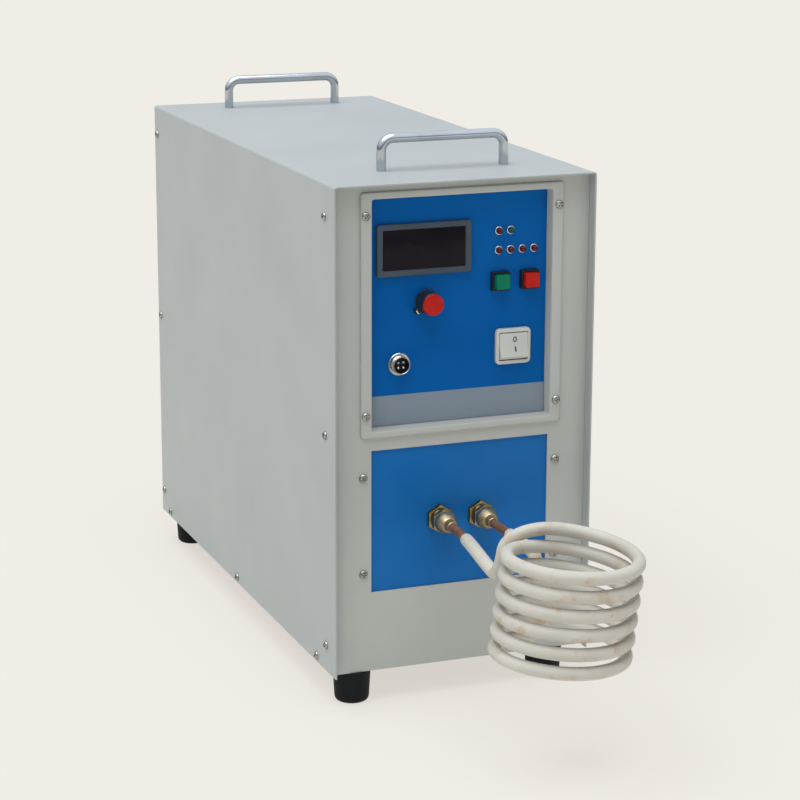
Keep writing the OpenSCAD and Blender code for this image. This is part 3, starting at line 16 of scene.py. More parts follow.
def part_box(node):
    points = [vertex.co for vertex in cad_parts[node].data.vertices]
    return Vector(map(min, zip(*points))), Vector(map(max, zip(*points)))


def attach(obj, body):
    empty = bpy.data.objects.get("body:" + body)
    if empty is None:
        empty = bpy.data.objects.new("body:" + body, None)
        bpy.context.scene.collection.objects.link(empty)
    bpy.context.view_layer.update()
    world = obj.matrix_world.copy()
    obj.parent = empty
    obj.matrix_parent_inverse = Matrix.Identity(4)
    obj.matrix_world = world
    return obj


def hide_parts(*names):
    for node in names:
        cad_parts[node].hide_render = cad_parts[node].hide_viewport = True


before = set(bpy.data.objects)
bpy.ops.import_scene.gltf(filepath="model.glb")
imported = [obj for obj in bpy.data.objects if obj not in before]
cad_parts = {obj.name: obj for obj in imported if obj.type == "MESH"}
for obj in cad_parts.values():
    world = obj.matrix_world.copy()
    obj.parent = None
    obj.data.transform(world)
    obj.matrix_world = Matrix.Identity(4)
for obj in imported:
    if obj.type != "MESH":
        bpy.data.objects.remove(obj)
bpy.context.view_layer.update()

# %% [markdown]
# ## Where things are
# Sizes in this lesson are in millimetres, the way a drawing gives them, and Blender works in
# metres. One function turns a place on the case into a place in the scene: x counts from the
# middle of the case, y from the front edge of the cover towards the back, z from the case bottom.
# Reading the case from the frame keeps the pieces true to it.

# %% Places and sizes
MM = 0.001
case_low, case_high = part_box("cover_shell")


def at(x, y, z):
    """Scene point for a place on the case, in millimetres."""
    return Vector((x * MM, case_low.y + y * MM, case_low.z + z * MM))


def put(x, y, z):
    """Matrix that puts a thing at a place on the case."""
    return Matrix.Translation(at(x, y, z))


def middle(node):
    """Sideways place and height of a node's centre, in case millimetres."""
    low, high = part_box(node)
    centre = (low + high) / 2
    return centre.x / MM, (centre.z - case_low.z) / MM


def depth(node):
    """Front and back of a node, in case millimetres."""
    low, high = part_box(node)
    return (low.y - case_low.y) / MM, (high.y - case_low.y) / MM


CASE_W, CASE_D, CASE_H = ((high - low) / MM for low, high in zip(case_low, case_high))
PLATE_Y = depth("control_plate")[0]
BEZEL_Y = depth("control_bezel")[0]
PANEL_Y = depth("front_panel")[0]
print("case", round(CASE_W), round(CASE_D), round(CASE_H), "mm, plate at", round(PLATE_Y, 2))

# %% [markdown]
# ## Camera first
# The camera stands to the left of the machine and a little above it, and looks at the front
# corner. A long lens keeps the verticals nearly parallel, as in a catalogue picture. Making it
# first lets every later piece be judged from the view that matters.

# %% Camera
LENS_MM = 111.22
SPOT = (-0.82765, -2.15863, 0.82599)
ROLL = 0.003

camera_data = bpy.data.cameras.new("camera")
camera_data.lens = LENS_MM
camera_data.clip_end = 60
camera = bpy.data.objects.new("camera", camera_data)
bpy.context.collection.objects.link(camera)
ahead = Vector((0.3482, 0.9047, -0.2456)).normalized()
level = Vector((0.9333, -0.3592, 0.0)).normalized()
above = level.cross(ahead).normalized()
right = level * cos(ROLL) + above * sin(ROLL)
up = right.cross(ahead).normalized()
turn = Matrix((right, up, -ahead)).transposed()
camera.matrix_world = Matrix.Translation(SPOT) @ turn.to_4x4()
bpy.context.scene.camera = camera
bpy.context.scene.view_settings.view_transform = "Standard"
print("camera at", [round(v, 3) for v in camera.location])

# %% [markdown]
# ## Colours and nodes
# A colour picked from a swatch is an sRGB hex value, and the shader wants linear numbers, so one
# function does the turning. A second one adds a node, sets it and links it in one line. Three
# patterns are built from it: a colour that drifts, a grain with a real height, and a gloss that
# drifts. Most finishes are these three at sizes of their own, so one call makes a whole finish.
# A pattern's size is given in millimetres, and the shader's scale follows from it.

# %% Helpers for materials
ROUGH, GLOSS = "Roughness", "Specular IOR Level"


def tint(hex_value):
    """Linear colour for an sRGB hex value."""
    parts = [int(hex_value[i:i + 2], 16) / 255 for i in (1, 3, 5)]
    linear = [c / 12.92 if c <= 0.04045 else ((c + 0.055) / 1.055) ** 2.4 for c in parts]
    return (*linear, 1.0)


def add(tree, kind, inputs=None, **settings):
    """Adds a node. Inputs are values or sockets to link from, by name or number."""
    made = tree.nodes.new("ShaderNode" + kind)
    for key, value in settings.items():
        setattr(made, key, value)
    for key, value in (inputs or {}).items():
        if isinstance(value, bpy.types.NodeSocket):
            tree.links.new(value, made.inputs[key])
        else:
            made.inputs[key].default_value = value
    return made


def cleared(owner):
    """Empty node tree of a material or a world."""
    owner.use_nodes = True
    owner.node_tree.nodes.clear()
    return owner.node_tree


def blank(name, slot, inputs):
    """New material for one of the record's slots, with its tree, shader and coordinates."""
    material = bpy.data.materials.new(name)
    material["slot"] = slot
    tree = cleared(material)
    shader = add(tree, "BsdfPrincipled", inputs)
    add(tree, "OutputMaterial", {"Surface": shader.outputs[0]})
    return material, tree, shader, add(tree, "TexCoord").outputs["Object"]


def cloud(tree, where, mm, detail, seen, given=(0.0, 1.0), **rough):
    """Noise with lumps of this size, its values between two limits stretched to two others."""
    lumps = add(tree, "TexNoise", {"Vector": where, "Scale": 1 / (mm * MM), "Detail": detail,
                                   **rough})
    part = add(tree, "MapRange", {"Value": lumps.outputs[0], "From Min": seen[0],
                                  "From Max": seen[1], "To Min": given[0], "To Max": given[1]})
    return part.outputs[0]


def mottle(tree, where, mm, detail, seen, under, over, most=1.0, **rough):
    """Colour that goes from one to the other where a noise is high."""
    share = cloud(tree, where, mm, detail, seen, (0.0, most), **rough)
    mix = add(tree, "Mix", {"Factor": share, "A": under, "B": over}, data_type="RGBA")
    return mix.outputs["Result"]


def roughen(tree, shader, where, mm, height_mm, strength, detail=2.0):
    """Links a noise bump to a shader: lumps of one size, with a real height."""
    grain = add(tree, "TexNoise", {"Vector": where, "Scale": 1 / (mm * MM), "Detail": detail})
    bump = add(tree, "Bump", {"Height": grain.outputs[0], "Distance": height_mm * MM,
                              "Strength": strength})
    tree.links.new(bump.outputs[0], shader.inputs["Normal"])


def finish(name, slot, colours, drift_mm, rough, gloss=0.5, ior=1.5, metal=0.0, patchy=None,
           grain=None, sheen=None):
    """Whole finish. Grain is (mm, height, strength), sheen (mm, smoothest, roughest).

    Patchy is the detail of a colour drift that is stronger than usual."""
    material, tree, shader, where = blank(name, slot, {ROUGH: rough, GLOSS: gloss, "IOR": ior,
                                                       "Metallic": metal})
    seen = (0.3, 0.7) if patchy else (0.35, 0.65)
    under, over = [tint(c) for c in colours]
    drift = mottle(tree, where, drift_mm, patchy or 3.0, seen, under, over)
    tree.links.new(drift, shader.inputs["Base Color"])
    if grain:
        roughen(tree, shader, where, *grain)
    if sheen:
        gloss = cloud(tree, where, sheen[0], 4.0, (0.3, 0.7), sheen[1:])
        tree.links.new(gloss, shader.inputs[ROUGH])
    return material


# %% [markdown]
# ## Painted steel
# The case is sheet steel under a baked powder coat: a plain grey with a soft sheen. Powder
# melts into tiny lumps, like orange peel, about a millimetre across. They are drawn a little
# larger than real so that they still show at this distance. A second, wide noise keeps large flat
# sides from looking computed.

# %% Powder coat
PEEL = (1.6, 0.03, 0.35)

# Baked powder coat on the steel cover: plain grey, with a soft sheen.
powder_coat = finish("powder_coated_steel", "case_grey", ("#a8abab", "#acafaf"), 160,
                     0.42, gloss=0.3, grain=PEEL, sheen=(90, 0.36, 0.48))
# The same powder in a lighter, warmer shade on the front panel and its frame.
frame_coat = finish("powder_coated_front", "frame_grey", ("#b1b2ae", "#b6b6b2"), 120,
                    0.4, gloss=0.3, grain=PEEL, sheen=(70, 0.34, 0.46))

# %% [markdown]
# ## Blue plates
# The control plate is a printed film on aluminium, satin and quite even, with the finest grain.
# The board below is an insulating laminate, painted blue by hand: its colour drifts more, and its
# surface waves a little. Two materials, because the eye tells them apart at once.

# %% Films and boards
# The film's own grain is ten times finer. Drawn at this size, it still shows.
FILM_GRAIN = (0.9, 0.01, 0.25)

# Screen-printed polyester film: deep blue, satin, almost no gloss.
blue_film = finish("printed_film_blue", "plate_blue", ("#00569f", "#035ba5"), 130,
                   0.38, gloss=0.05, ior=1.49, grain=FILM_GRAIN)
# The same film printed grey along the bottom edge.
grey_film = finish("printed_film_grey", "strip_grey", ("#7e8a98", "#84909d"), 110,
                   0.4, gloss=0.15, ior=1.49, grain=FILM_GRAIN)
# Brushed paint on pressed laminate: long soft waves, uneven gloss.
blue_board = finish("painted_laminate_blue", "board_blue", ("#0c62a8", "#1268b0"), 60,
                    0.36, gloss=0.15, patchy=5.0,
                    grain=(9.0, 0.12, 0.3, 4.0), sheen=(25, 0.3, 0.44))

# %% [markdown]
# ## Plastics and rubber
# Buttons, knob, rocker and meter frame are moulded: clean colour, small roughness, no metal, and
# the spark texture that a mould leaves. That is finer than a tenth of a millimetre, so it is drawn
# at half a millimetre or more, as coarse as it needs to be to show. The feet are black rubber,
# which scatters light and gathers dust.

# %% Plastics
# Moulded ABS, black: surrounds, housings and the socket's insert, with a dull shine.
black_abs = finish("moulded_abs_black", "black_plastic", ("#17191d", "#1f2227"), 20,
                   0.34, gloss=0.2, grain=(0.5, 0.015, 0.3))
# Pressed phenolic, black: harder and bluer than ABS, with a sharper shine.
knob_black = finish("moulded_phenolic_black", "black_plastic", ("#1b1f26", "#262b34"), 12,
                    0.3, gloss=0.25, ior=1.55, grain=(0.6, 0.01, 0.3))
# Moulded ABS, slate: the meter's frame, spark-textured and flat.
slate_abs = finish("moulded_abs_slate", "slate_plastic", ("#404955", "#46505d"), 40,
                   0.42, gloss=0.2, grain=(0.7, 0.02, 0.4))
# Moulded ABS, red: the stop cap and the knob's cap, a strong even colour.
red_abs = finish("moulded_abs_red", "cap_red", ("#b01b13", "#ba2018"), 9,
                 0.3, gloss=0.12, grain=(1.2, 0.015, 0.2))
# Moulded ABS, green: the start cap, just as strong and even.
green_abs = finish("moulded_abs_green", "cap_green", ("#007052", "#02795a"), 9,
                   0.3, gloss=0.12, grain=(1.2, 0.015, 0.2))
# Moulded ABS, light grey: the mains rocker, a little yellowed and shinier.
rocker_abs = finish("moulded_abs_light_grey", "rocker_grey", ("#bfbfbb", "#c6c5c1"), 25,
                    0.38, grain=(0.6, 0.015, 0.3))
# Moulded rubber, black: the feet, rough and dusty, without a clear highlight.
rubber = finish("black_rubber", "foot_rubber", ("#101214", "#181b1d"), 14,
                0.62, gloss=0.15, ior=1.52, patchy=6.0, grain=(1.0, 0.05, 0.5))
# Pad-printed ink, black and white: even marks with hardly any shine.
print_black = finish("printed_mark_black", "black_plastic", ("#0d0e10", "#16181a"), 4, 0.5)
print_white = finish("printed_mark_white", "rocker_grey", ("#e6e8e8", "#f2f3f2"), 4, 0.5)

# %% [markdown]
# ## Lamps and the display window
# A lamp's lens is clear coloured acrylic with a dark reflector behind it, so an unlit lamp is deep
# in colour and shiny on top. The meter's window is smoked acrylic over dark digits. Both get
# their look from a low roughness, which the lights draw as small bright spots.

# %% Acrylics
# Moulded acrylic, red and green: polished domes, deep in colour over a dark reflector.
red_lens = finish("acrylic_red", "red_lens", ("#4a0305", "#640709"), 3,
                  0.14, gloss=0.3, ior=1.49)
green_lens = finish("acrylic_green", "green_lens", ("#08402a", "#105439"), 3,
                    0.14, gloss=0.3, ior=1.49)
# Cast acrylic, smoked: nearly black, with a weak wide reflection.
smoked_window = finish("acrylic_smoked", "window", ("#171319", "#1d181f"), 30,
                       0.16, gloss=0.1, ior=1.49)

# %% [markdown]
# ## Metals
# A metal's colour is its reflection, so these are metallic and keep the default IOR. Chrome on
# the handles is nearly a mirror. Nickel screws are duller, their colour painted darker as shade.
# The fittings are machined brass that has tarnished to brown in the grooves, and the coil's bare
# ends are copper, browned by heat.

# %% Chrome, nickel and zinc
# Polished chrome plate: handles, lamp collars and the fan's guard.
chrome = finish("chrome_plated_steel", "chrome", ("#b4babf", "#c1c7cc"), 30,
                0.09, metal=1.0, sheen=(12, 0.06, 0.13))
# Satin nickel plate: the socket's shell and pins, a warmer and softer mirror.
nickel = finish("nickel_plated_steel", "nickel", ("#b9b8b2", "#cccac4"), 6,
                0.26, metal=1.0, sheen=(3, 0.2, 0.36))
# Nickel plate on screws: darker as painted shade, and shinier, so the cross and the rim draw
# themselves.
shaded_screw_nickel = finish("nickel_plated_screw_painted_darker", "nickel", ("#93928d", "#b4b3ad"), 5,
                      0.2, metal=1.0, sheen=(3, 0.15, 0.28))
# Zinc plate on the hidden screws: grey and cloudy.
zinc = finish("zinc_plated_steel", "nickel", ("#a6a8a6", "#bcbdb9"), 8,
              0.4, metal=1.0, patchy=5.0)
# Extruded aluminium, bare: the water-cooled plate.
aluminium = finish("extruded_aluminium", "aluminium", ("#a9adb0", "#b7babc"), 25,
                   0.38, metal=1.0, grain=(1.0, 0.02, 0.3))

# %% Brass and copper
# Turned brass, tarnished: the fittings, brown and grey in patches.
brass = finish("tarnished_brass", "brass", ("#7b6f56", "#a3957a"), 5,
               0.36, metal=1.0, patchy=6.0, grain=(0.8, 0.03, 0.35), sheen=(4, 0.28, 0.5))
# Machined brass, newer: nuts and spigots, yellow.
nut_brass = finish("machined_brass", "brass", ("#93783c", "#b89a5a"), 6,
                   0.3, metal=1.0, patchy=5.0, sheen=(4, 0.24, 0.42))
# Turned brass, dulled by handling: the flare nuts, pale and soft.
cone_brass = finish("dull_brass", "brass", ("#9c8b6d", "#c2b08e"), 7,
                    0.42, metal=1.0, patchy=5.0, sheen=(4, 0.34, 0.5))
# Drawn copper tube, stained by heat: orange brown, with a skin of oxide that isn't all metal.
copper = finish("heat_stained_copper", "copper", ("#a66d4b", "#d0946b"), 7,
                0.45, metal=0.85, patchy=6.0, grain=(1.2, 0.03, 0.3))

# %% [markdown]
# ## The sleeve
# The coil wears a glass-fibre sleeve filled with silicone: cream white, soft, a little translucent
# and never quite clean. The weave is about a millimetre across and nearly drowned in the
# silicone, so it is only a faint bump. Handling and heat leave tan smudges and a few brown specks,
# which come from noises that are cut off high, so that only their peaks show.

# %% Silicone sleeve
# Braided glass fibre filled with silicone: cream, soft, with tan smudges and brown specks.
sleeve, tree, shader, where = blank("silicone_glass_sleeve", "sleeve", {
    ROUGH: 0.5, "IOR": 1.41, GLOSS: 0.3, "Subsurface Weight": 0.12, "Subsurface Scale": 0.004})
clean = mottle(tree, where, 45, 4.0, (0.3, 0.7), tint("#bbb6ab"), tint("#c8c3b9"))
smudged = mottle(tree, where, 26, 6.0, (0.58, 0.74), clean, tint("#b08c62"), 0.8, Roughness=0.6)
specked = mottle(tree, where, 7, 3.0, (0.72, 0.8), smudged, tint("#8d6445"), 0.5)
tree.links.new(specked, shader.inputs["Base Color"])
roughen(tree, shader, where, 1.4, 0.05, 0.3, 3.0)

# %% Inside materials
# Sintered ferrite: charcoal, matt, slightly grainy.
ferrite = finish("sintered_ferrite", "ferrite", ("#35373a", "#424448"), 10, 0.5,
                 grain=(0.8, 0.03, 0.4))
# Shrink sleeve on capacitors, screened mask on the board, extruded polyurethane hose: clean
# colours, from satin to shiny.
film_can = finish("capacitor_sleeve_blue", "capacitor", ("#28568a", "#315f93"), 20, 0.35)
solder_mask = finish("solder_mask_green", "circuit_board", ("#17603a", "#1d7044"), 5, 0.3)
hose_blue = finish("polyurethane_hose", "hose", ("#2468a4", "#2d74b2"), 20, 0.25)

print("materials:", len(bpy.data.materials))

# %% [markdown]
# ## Tools for shapes
# Most of the front is made of rounded rectangles at different depths: plates, frames, caps. So one
# helper makes such an outline, and another bridges a stack of them into a solid. The round parts
# are turned, as on a lathe: a half profile is spun about its axis. With these two, nearly every
# piece is a short list of sizes.

# %% Outlines and stacks
ARC = 6


def outline(bm, x, z, w, h, r, y):
    """Edge loop of a rounded rectangle that faces the front."""
    place = put(x, y, z) @ Matrix.Rotation(radians(90), 4, "X")
    place = place @ Matrix.Diagonal((w * MM / 2, h * MM / 2, 1, 1))
    old = set(bm.verts)
    made = bmesh.ops.create_grid(bm, x_segments=1, y_segments=1, size=1.0, matrix=place)
    bmesh.ops.bevel(bm, geom=made["verts"], offset=r * MM, offset_type="OFFSET", segments=ARC,
                    profile=0.5, affect="VERTICES", material=-1)
    new = [v for v in bm.verts if v not in old]
    faces = {f for v in new for f in v.link_faces}
    edges = list({e for v in new for e in v.link_edges})
    bmesh.ops.delete(bm, geom=list(faces), context="FACES_ONLY")
    return edges


def bridge(bm, one, two, apart):
    """Bridges two loops. They are held apart meanwhile, so that a flat step isn't twisted."""
    verts = list({v for e in two for v in e.verts})
    bmesh.ops.translate(bm, vec=apart, verts=verts)
    bmesh.ops.bridge_loops(bm, edges=one + two)
    bmesh.ops.translate(bm, vec=-apart, verts=verts)


HOLD_APART = 40


def stack(bm, x, z, sections, closed=True):
    """Bridges rounded rectangles (w, h, r, y) in order, and closes both ends or neither."""
    loops = [outline(bm, x, z, *section) for section in sections]
    for one, two in zip(loops, loops[1:]):
        bridge(bm, one, two, Vector((0, HOLD_APART * MM, 0)))
    if closed:
        for loop in (loops[0], loops[-1]):
            bmesh.ops.edgeloop_fill(bm, edges=loop)


def rolled(w, h, r, y, edge, way=1, steps=4):
    """Sections of an edge that rolls over: from the side wall (way 1) onto the face at y."""
    made = []
    for i in range(steps + 1):
        a = radians(90 * i / steps)
        inset = edge * (1 - cos(a))
        made.append((w - 2 * inset, h - 2 * inset, max(r - inset, 0.15),
                     y + way * edge * (1 - sin(a))))
    return made


# %% Turned pieces
AXIS = 0.001


def turned(bm, x, z, profile, steps=48):
    """Spins a half profile of (radius, y) about the line along Y through x, z."""
    verts = [bm.verts.new(at(x + radius, y, z)) for radius, y in profile]
    edges = [bm.edges.new(pair) for pair in zip(verts, verts[1:])]
    bmesh.ops.spin(bm, geom=verts + edges, cent=at(x, 0, z), axis=(0, 1, 0),
                   angle=2 * pi, steps=steps, use_merge=True)


def round_corner(r0, y0, r1, y1, steps=4):
    """Quarter arc between profile points: leaves the first along y, meets the second along r."""
    turns = [radians(90 * i / steps) for i in range(steps + 1)]
    return [(r1 + (r0 - r1) * cos(a), y0 + (y1 - y0) * sin(a)) for a in turns]


# %% [markdown]
# ## From mesh to piece
# A finished piece needs the same few things each time: closed seams, outward faces, smooth
# shading that stops at hard edges, a material, and the body that it moves with. One function does
# all of it, and hides the plain solid that the piece stands for. A carved piece is cut by another
# mesh and the result is kept as plain geometry.

# %% Making a mesh


def mesh_object(name, bm):
    """Object with this mesh, cleaned, at the origin."""
    bmesh.ops.remove_doubles(bm, verts=bm.verts, dist=0.002 * MM)
    bmesh.ops.recalc_face_normals(bm, faces=bm.faces)
    data = bpy.data.meshes.new(name)
    bm.to_mesh(data)
    bm.free()
    made = bpy.data.objects.new(name, data)
    bpy.context.collection.objects.link(made)
    return made


def layered(name, x, z, sections, closed=True):
    """Object made of one stack."""
    bm = bmesh.new()
    stack(bm, x, z, sections, closed)
    return mesh_object(name, bm)


def lathed(name, spots, profile, steps=48):
    """Object made of one turned profile at each of the (x, z) spots."""
    bm = bmesh.new()
    for x, z in spots:
        turned(bm, x, z, profile, steps)
    return mesh_object(name, bm)


def block(name, place, size):
    """Box of this size in millimetres, for carving."""
    bm = bmesh.new()
    stretched = Matrix.Diagonal([s * MM for s in size] + [1])
    bmesh.ops.create_cube(bm, size=1.0, matrix=place @ stretched)
    return mesh_object(name, bm)


def moved(target, place):
    """Moves a mesh that was made at the case's zero to its own place."""
    target.data.transform(place @ Matrix.Translation(-at(0, 0, 0)))
    return target


# %% Pulling, joining and carving


def faces_in(geometry):
    """Faces among the things that an operator made."""
    return [part for part in geometry if isinstance(part, bmesh.types.BMFace)]


def pull(bm, faces, way):
    """Extrudes faces by a vector, and gives the moved ones."""
    made = bmesh.ops.extrude_face_region(bm, geom=faces)["geom"]
    verts = [part for part in made if isinstance(part, bmesh.types.BMVert)]
    bmesh.ops.translate(bm, vec=way, verts=verts)
    return faces_in(made)


def join(target, other):
    """Adds the other object's mesh to the target as a separate shell."""
    bm = bmesh.new()
    bm.from_mesh(target.data)
    bm.from_mesh(other.data)
    bm.to_mesh(target.data)
    bm.free()
    bpy.data.objects.remove(other)


def keep(target):
    """Keeps what the modifiers make as plain geometry."""
    graph = bpy.context.evaluated_depsgraph_get()
    result = bpy.data.meshes.new_from_object(target.evaluated_get(graph))
    target.modifiers.clear()
    target.data = result
    return target


def carve(target, cutter, operation="DIFFERENCE"):
    """Cuts one mesh by another."""
    step = target.modifiers.new("cut", "BOOLEAN")
    step.operation, step.object, step.solver = operation, cutter, "EXACT"
    keep(target)
    bpy.data.objects.remove(cutter)
    return target


def soften(target, width, segments=2, angle=35):
    """Rounds the hard edges by a small, real radius."""
    step = target.modifiers.new("edge", "BEVEL")
    step.width, step.segments, step.limit_method = width * MM, segments, "ANGLE"
    step.angle_limit = radians(angle)
    return keep(target)


def dress(made, material, stands_for=(), hard=32, body="machine"):
    """Shades a mesh, gives it its material and body, and hides the solid that it replaces."""
    made.data.materials.clear()
    made.data.materials.append(material)
    made.data.shade_smooth()
    made.data.set_sharp_from_angle(angle=radians(hard))
    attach(made, body)
    if stands_for:
        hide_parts(*stands_for)
    print(made.name, len(made.data.polygons), "faces")


def coat(material, *nodes):
    """Gives the frame's own solids a finish, where their shape is already right."""
    for name in nodes:
        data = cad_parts[name].data
        data.materials.clear()
        data.materials.append(material)


# %% [markdown]
# ## The cover
# The cover is one sheet bent twice, open below, in front and behind. It could be left as the plain
# solid, but a real sheet's edge is never knife sharp, and the light along it tells the eye that
# this is metal. So a box loses three sides, its two long top edges are bent, and the sheet gets
# its thickness and a small edge radius.

# %% Cover sheet
SHEET, BEND, EDGE = 1.5, 3.0, 0.3

bm = bmesh.new()
box_size = Matrix.Diagonal((CASE_W * MM, CASE_D * MM, CASE_H * MM, 1))
bmesh.ops.create_cube(bm, size=1.0,
                      matrix=put(0, CASE_D / 2, CASE_H / 2) @ box_size)
open_faces = [f for f in bm.faces if abs(f.normal.y) > 0.5 or f.normal.z < -0.5]
bmesh.ops.delete(bm, geom=open_faces, context="FACES")
bends = [e for e in bm.edges if len(e.link_faces) == 2]
bmesh.ops.bevel(bm, geom=bends, offset=BEND * MM, offset_type="OFFSET", segments=8, profile=0.5,
                affect="EDGES", material=-1)
bmesh.ops.recalc_face_normals(bm, faces=bm.faces)
if max(bm.faces, key=lambda f: f.calc_center_median().z).normal.z < 0:
    bmesh.ops.reverse_faces(bm, faces=bm.faces)
bmesh.ops.solidify(bm, geom=list(bm.faces), thickness=SHEET * MM)
dress(soften(mesh_object("cover_sheet", bm), EDGE), powder_coat, ["cover_shell"], 20)

# %% [markdown]
# ## Front panel, pan and rear panel
# These panels are flat and lie inside the cover, so their solids already have the right edges and
# holes. They only need paint. The control plate, its grey strip and the insulating board keep
# their solids as well: nothing but their film or paint shows.

# %% Painted solids
coat(frame_coat, "front_panel")
coat(powder_coat, "base_pan", "rear_panel", "inner_frame")
coat(blue_film, "control_plate")
coat(grey_film, "title_strip")
coat(blue_board, "terminal_board")

# %% [markdown]
# ## The control bezel
# The bezel is a pressed frame: its outer edge is rolled down to the panel, and its inner edge is
# rolled into the recess that holds the blue plate. A stack of rounded rectangles follows that
# section, from the back of the flange, over the face and down the recess wall. The inner walls
# lean a little, because a press tool has to come out again.

# %% Bezel pressing
BEZEL_W, BEZEL_H, BEZEL_R, BEZEL_ROLL = 194, 222, 3, 1.6
RECESS_W, RECESS_H, RECESS_R, LIP_ROLL, LEDGE = 170, 206, 0.8, 1.5, 4
bezel_x, bezel_z = middle("control_bezel")
tray_back = depth("control_bezel")[1]

flange_back = (BEZEL_W, BEZEL_H, BEZEL_R, PANEL_Y)
lip = (RECESS_W + 2 * LIP_ROLL, RECESS_H + 2 * LIP_ROLL, RECESS_R + LIP_ROLL)
ledge = (RECESS_W - 2 * LEDGE, RECESS_H - 2 * LEDGE, RECESS_R)
sections = [flange_back] + rolled(BEZEL_W, BEZEL_H, BEZEL_R, BEZEL_Y, BEZEL_ROLL)
sections += reversed(rolled(*lip, BEZEL_Y, -LIP_ROLL, -1))
sections += [(RECESS_W, RECESS_H, RECESS_R, PLATE_Y + 1), (*ledge, PLATE_Y + 1),
             (*ledge, tray_back), (*lip, tray_back), (*lip, PANEL_Y), flange_back]
dress(layered("bezel_pressing", bezel_x, bezel_z, sections, closed=False), frame_coat,
      ["control_bezel"], 28)

# %% [markdown]
# ## Pan-head screws
# Twenty-six screws hold the case together, and each catches a small highlight, so they are worth a
# real head: domed, with a cross recess. The head is turned once and carved once, and then copied
# to every place. Each copy is turned by its own angle, because nobody lines up screw slots.

# %% One screw head
HEAD_R, HEAD_H, HEAD_EDGE = 4.0, 2.4, 0.15
CROSS = (5.0, 3.2, 1.2)

dome = [(AXIS, -HEAD_H)]
for slope in range(15, 91, 15):
    a = radians(slope)
    dome.append((HEAD_R * sin(a) ** 0.8, -HEAD_H + HEAD_H * 0.75 * (1 - cos(a))))
dome += [(HEAD_R, -HEAD_EDGE), (HEAD_R - HEAD_EDGE, 0), (AXIS, 0)]
screw_head = lathed("screw_head", [(0, 0)], dome, 24)
for across in (0, 90):
    crossing = Matrix.Rotation(radians(across), 4, "Y")
    carve(screw_head, block("cross_bar", put(0, -HEAD_H, 0) @ crossing, CROSS))

# %% Screws at their places
LOW, MID, HIGH = 25, 222.75, CASE_H - 29.5
side_spots = [(y, z) for y in (25.5, CASE_D - 10) for z in (LOW, MID, HIGH)]
side_spots += [(y, 6) for y in (52, 297, CASE_D - 33)]


def four(half_w, centre_z, half_h):
    """Corners of a screw pattern."""
    return [(sx * half_w, centre_z + sz * half_h) for sx in (-1, 1) for sz in (-1, 1)]


def screws(name, placings, stands_for):
    """Copies the screw head to each placing, with an angle of its own."""
    bm = bmesh.new()
    for i, placing in enumerate(placings):
        own_turn = Matrix.Rotation(radians(37 * i + 11), 4, "Y")
        part = screw_head.data.copy()
        part.transform(placing @ own_turn @ Matrix.Translation(-at(0, 0, 0)))
        bm.from_mesh(part)
        bpy.data.meshes.remove(part)
    # The screw heads take the darker nickel, whose colour is painted shade.
    dress(mesh_object(name, bm), shaded_screw_nickel, [stands_for])


screws("bezel_screw_heads", [put(x, BEZEL_Y, z)
                             for x, z in four(92.5, bezel_z, 90.25)], "bezel_screws")
screws("board_screw_heads", [put(x, PANEL_Y, z)
                             for x, z in four(94, 138.25, 45.25)], "board_screws")
screws("cover_screw_heads", [put(side * CASE_W / 2, y, z)
                             @ Matrix.Rotation(side * radians(90), 4, "Z")
                             for side in (-1, 1) for y, z in side_spots], "cover_screws")
bpy.data.objects.remove(screw_head)

# %% [markdown]
# ## Carrying handles
# Each handle is a bent, chromed rod. A circle is pulled up the leg, spun round the bend, pulled
# across and taken down again, so the rod keeps one thickness everywhere. Chrome shows every flat
# facet, so the circle has many sides.

# %% Handle rods
ROD_R, ROD_BEND, ROD_SIDES = 4.5, 11.0, 32


def handle_rod(name, node):
    """Rod bent twice, in the place of one CAD handle."""
    low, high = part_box(node)
    left, right_leg = low.x / MM + ROD_R, high.x / MM - ROD_R
    y = ((low.y + high.y) / 2 - case_low.y) / MM
    knee = (high.z - case_low.z) / MM - ROD_R - ROD_BEND
    leg, span = knee - CASE_H, right_leg - left - 2 * ROD_BEND
    bm = bmesh.new()
    ring = bmesh.ops.create_circle(bm, cap_ends=True, segments=ROD_SIDES, radius=ROD_R * MM,
                                   matrix=put(left, y, CASE_H))
    face = ring["verts"][0].link_faces[0]
    for way, bend_x in (((0, 0, leg), left + ROD_BEND), ((span, 0, 0), right_leg - ROD_BEND),
                        ((0, 0, -leg), None)):
        pulled = pull(bm, [face], Vector(way) * MM)[0]
        bmesh.ops.delete(bm, geom=[face], context="FACES_ONLY")
        face = pulled
        if bend_x is not None:
            bent = bmesh.ops.spin(bm, geom=[face], cent=at(bend_x, y, knee), axis=(0, 1, 0),
                                  angle=radians(90), steps=12)
            face = faces_in(bent["geom_last"])[0]
    dress(mesh_object(name, bm), chrome, [node], 50)


handle_rod("front_handle_rod", "handle_front")
handle_rod("rear_handle_rod", "handle_rear")

# %% [markdown]
# ## Rubber feet
# A foot is a moulded, slightly tapered cylinder with a rounded rim, and hollow below for its
# screw. Its outline is a half profile, spun about the foot's upright axis.

# %% Feet
TOP_R, SOLE_R, RIM, SCREW_R, WELL_R, WELL_H = 17.5, 16.0, 5.0, 3.0, 6.0, 12


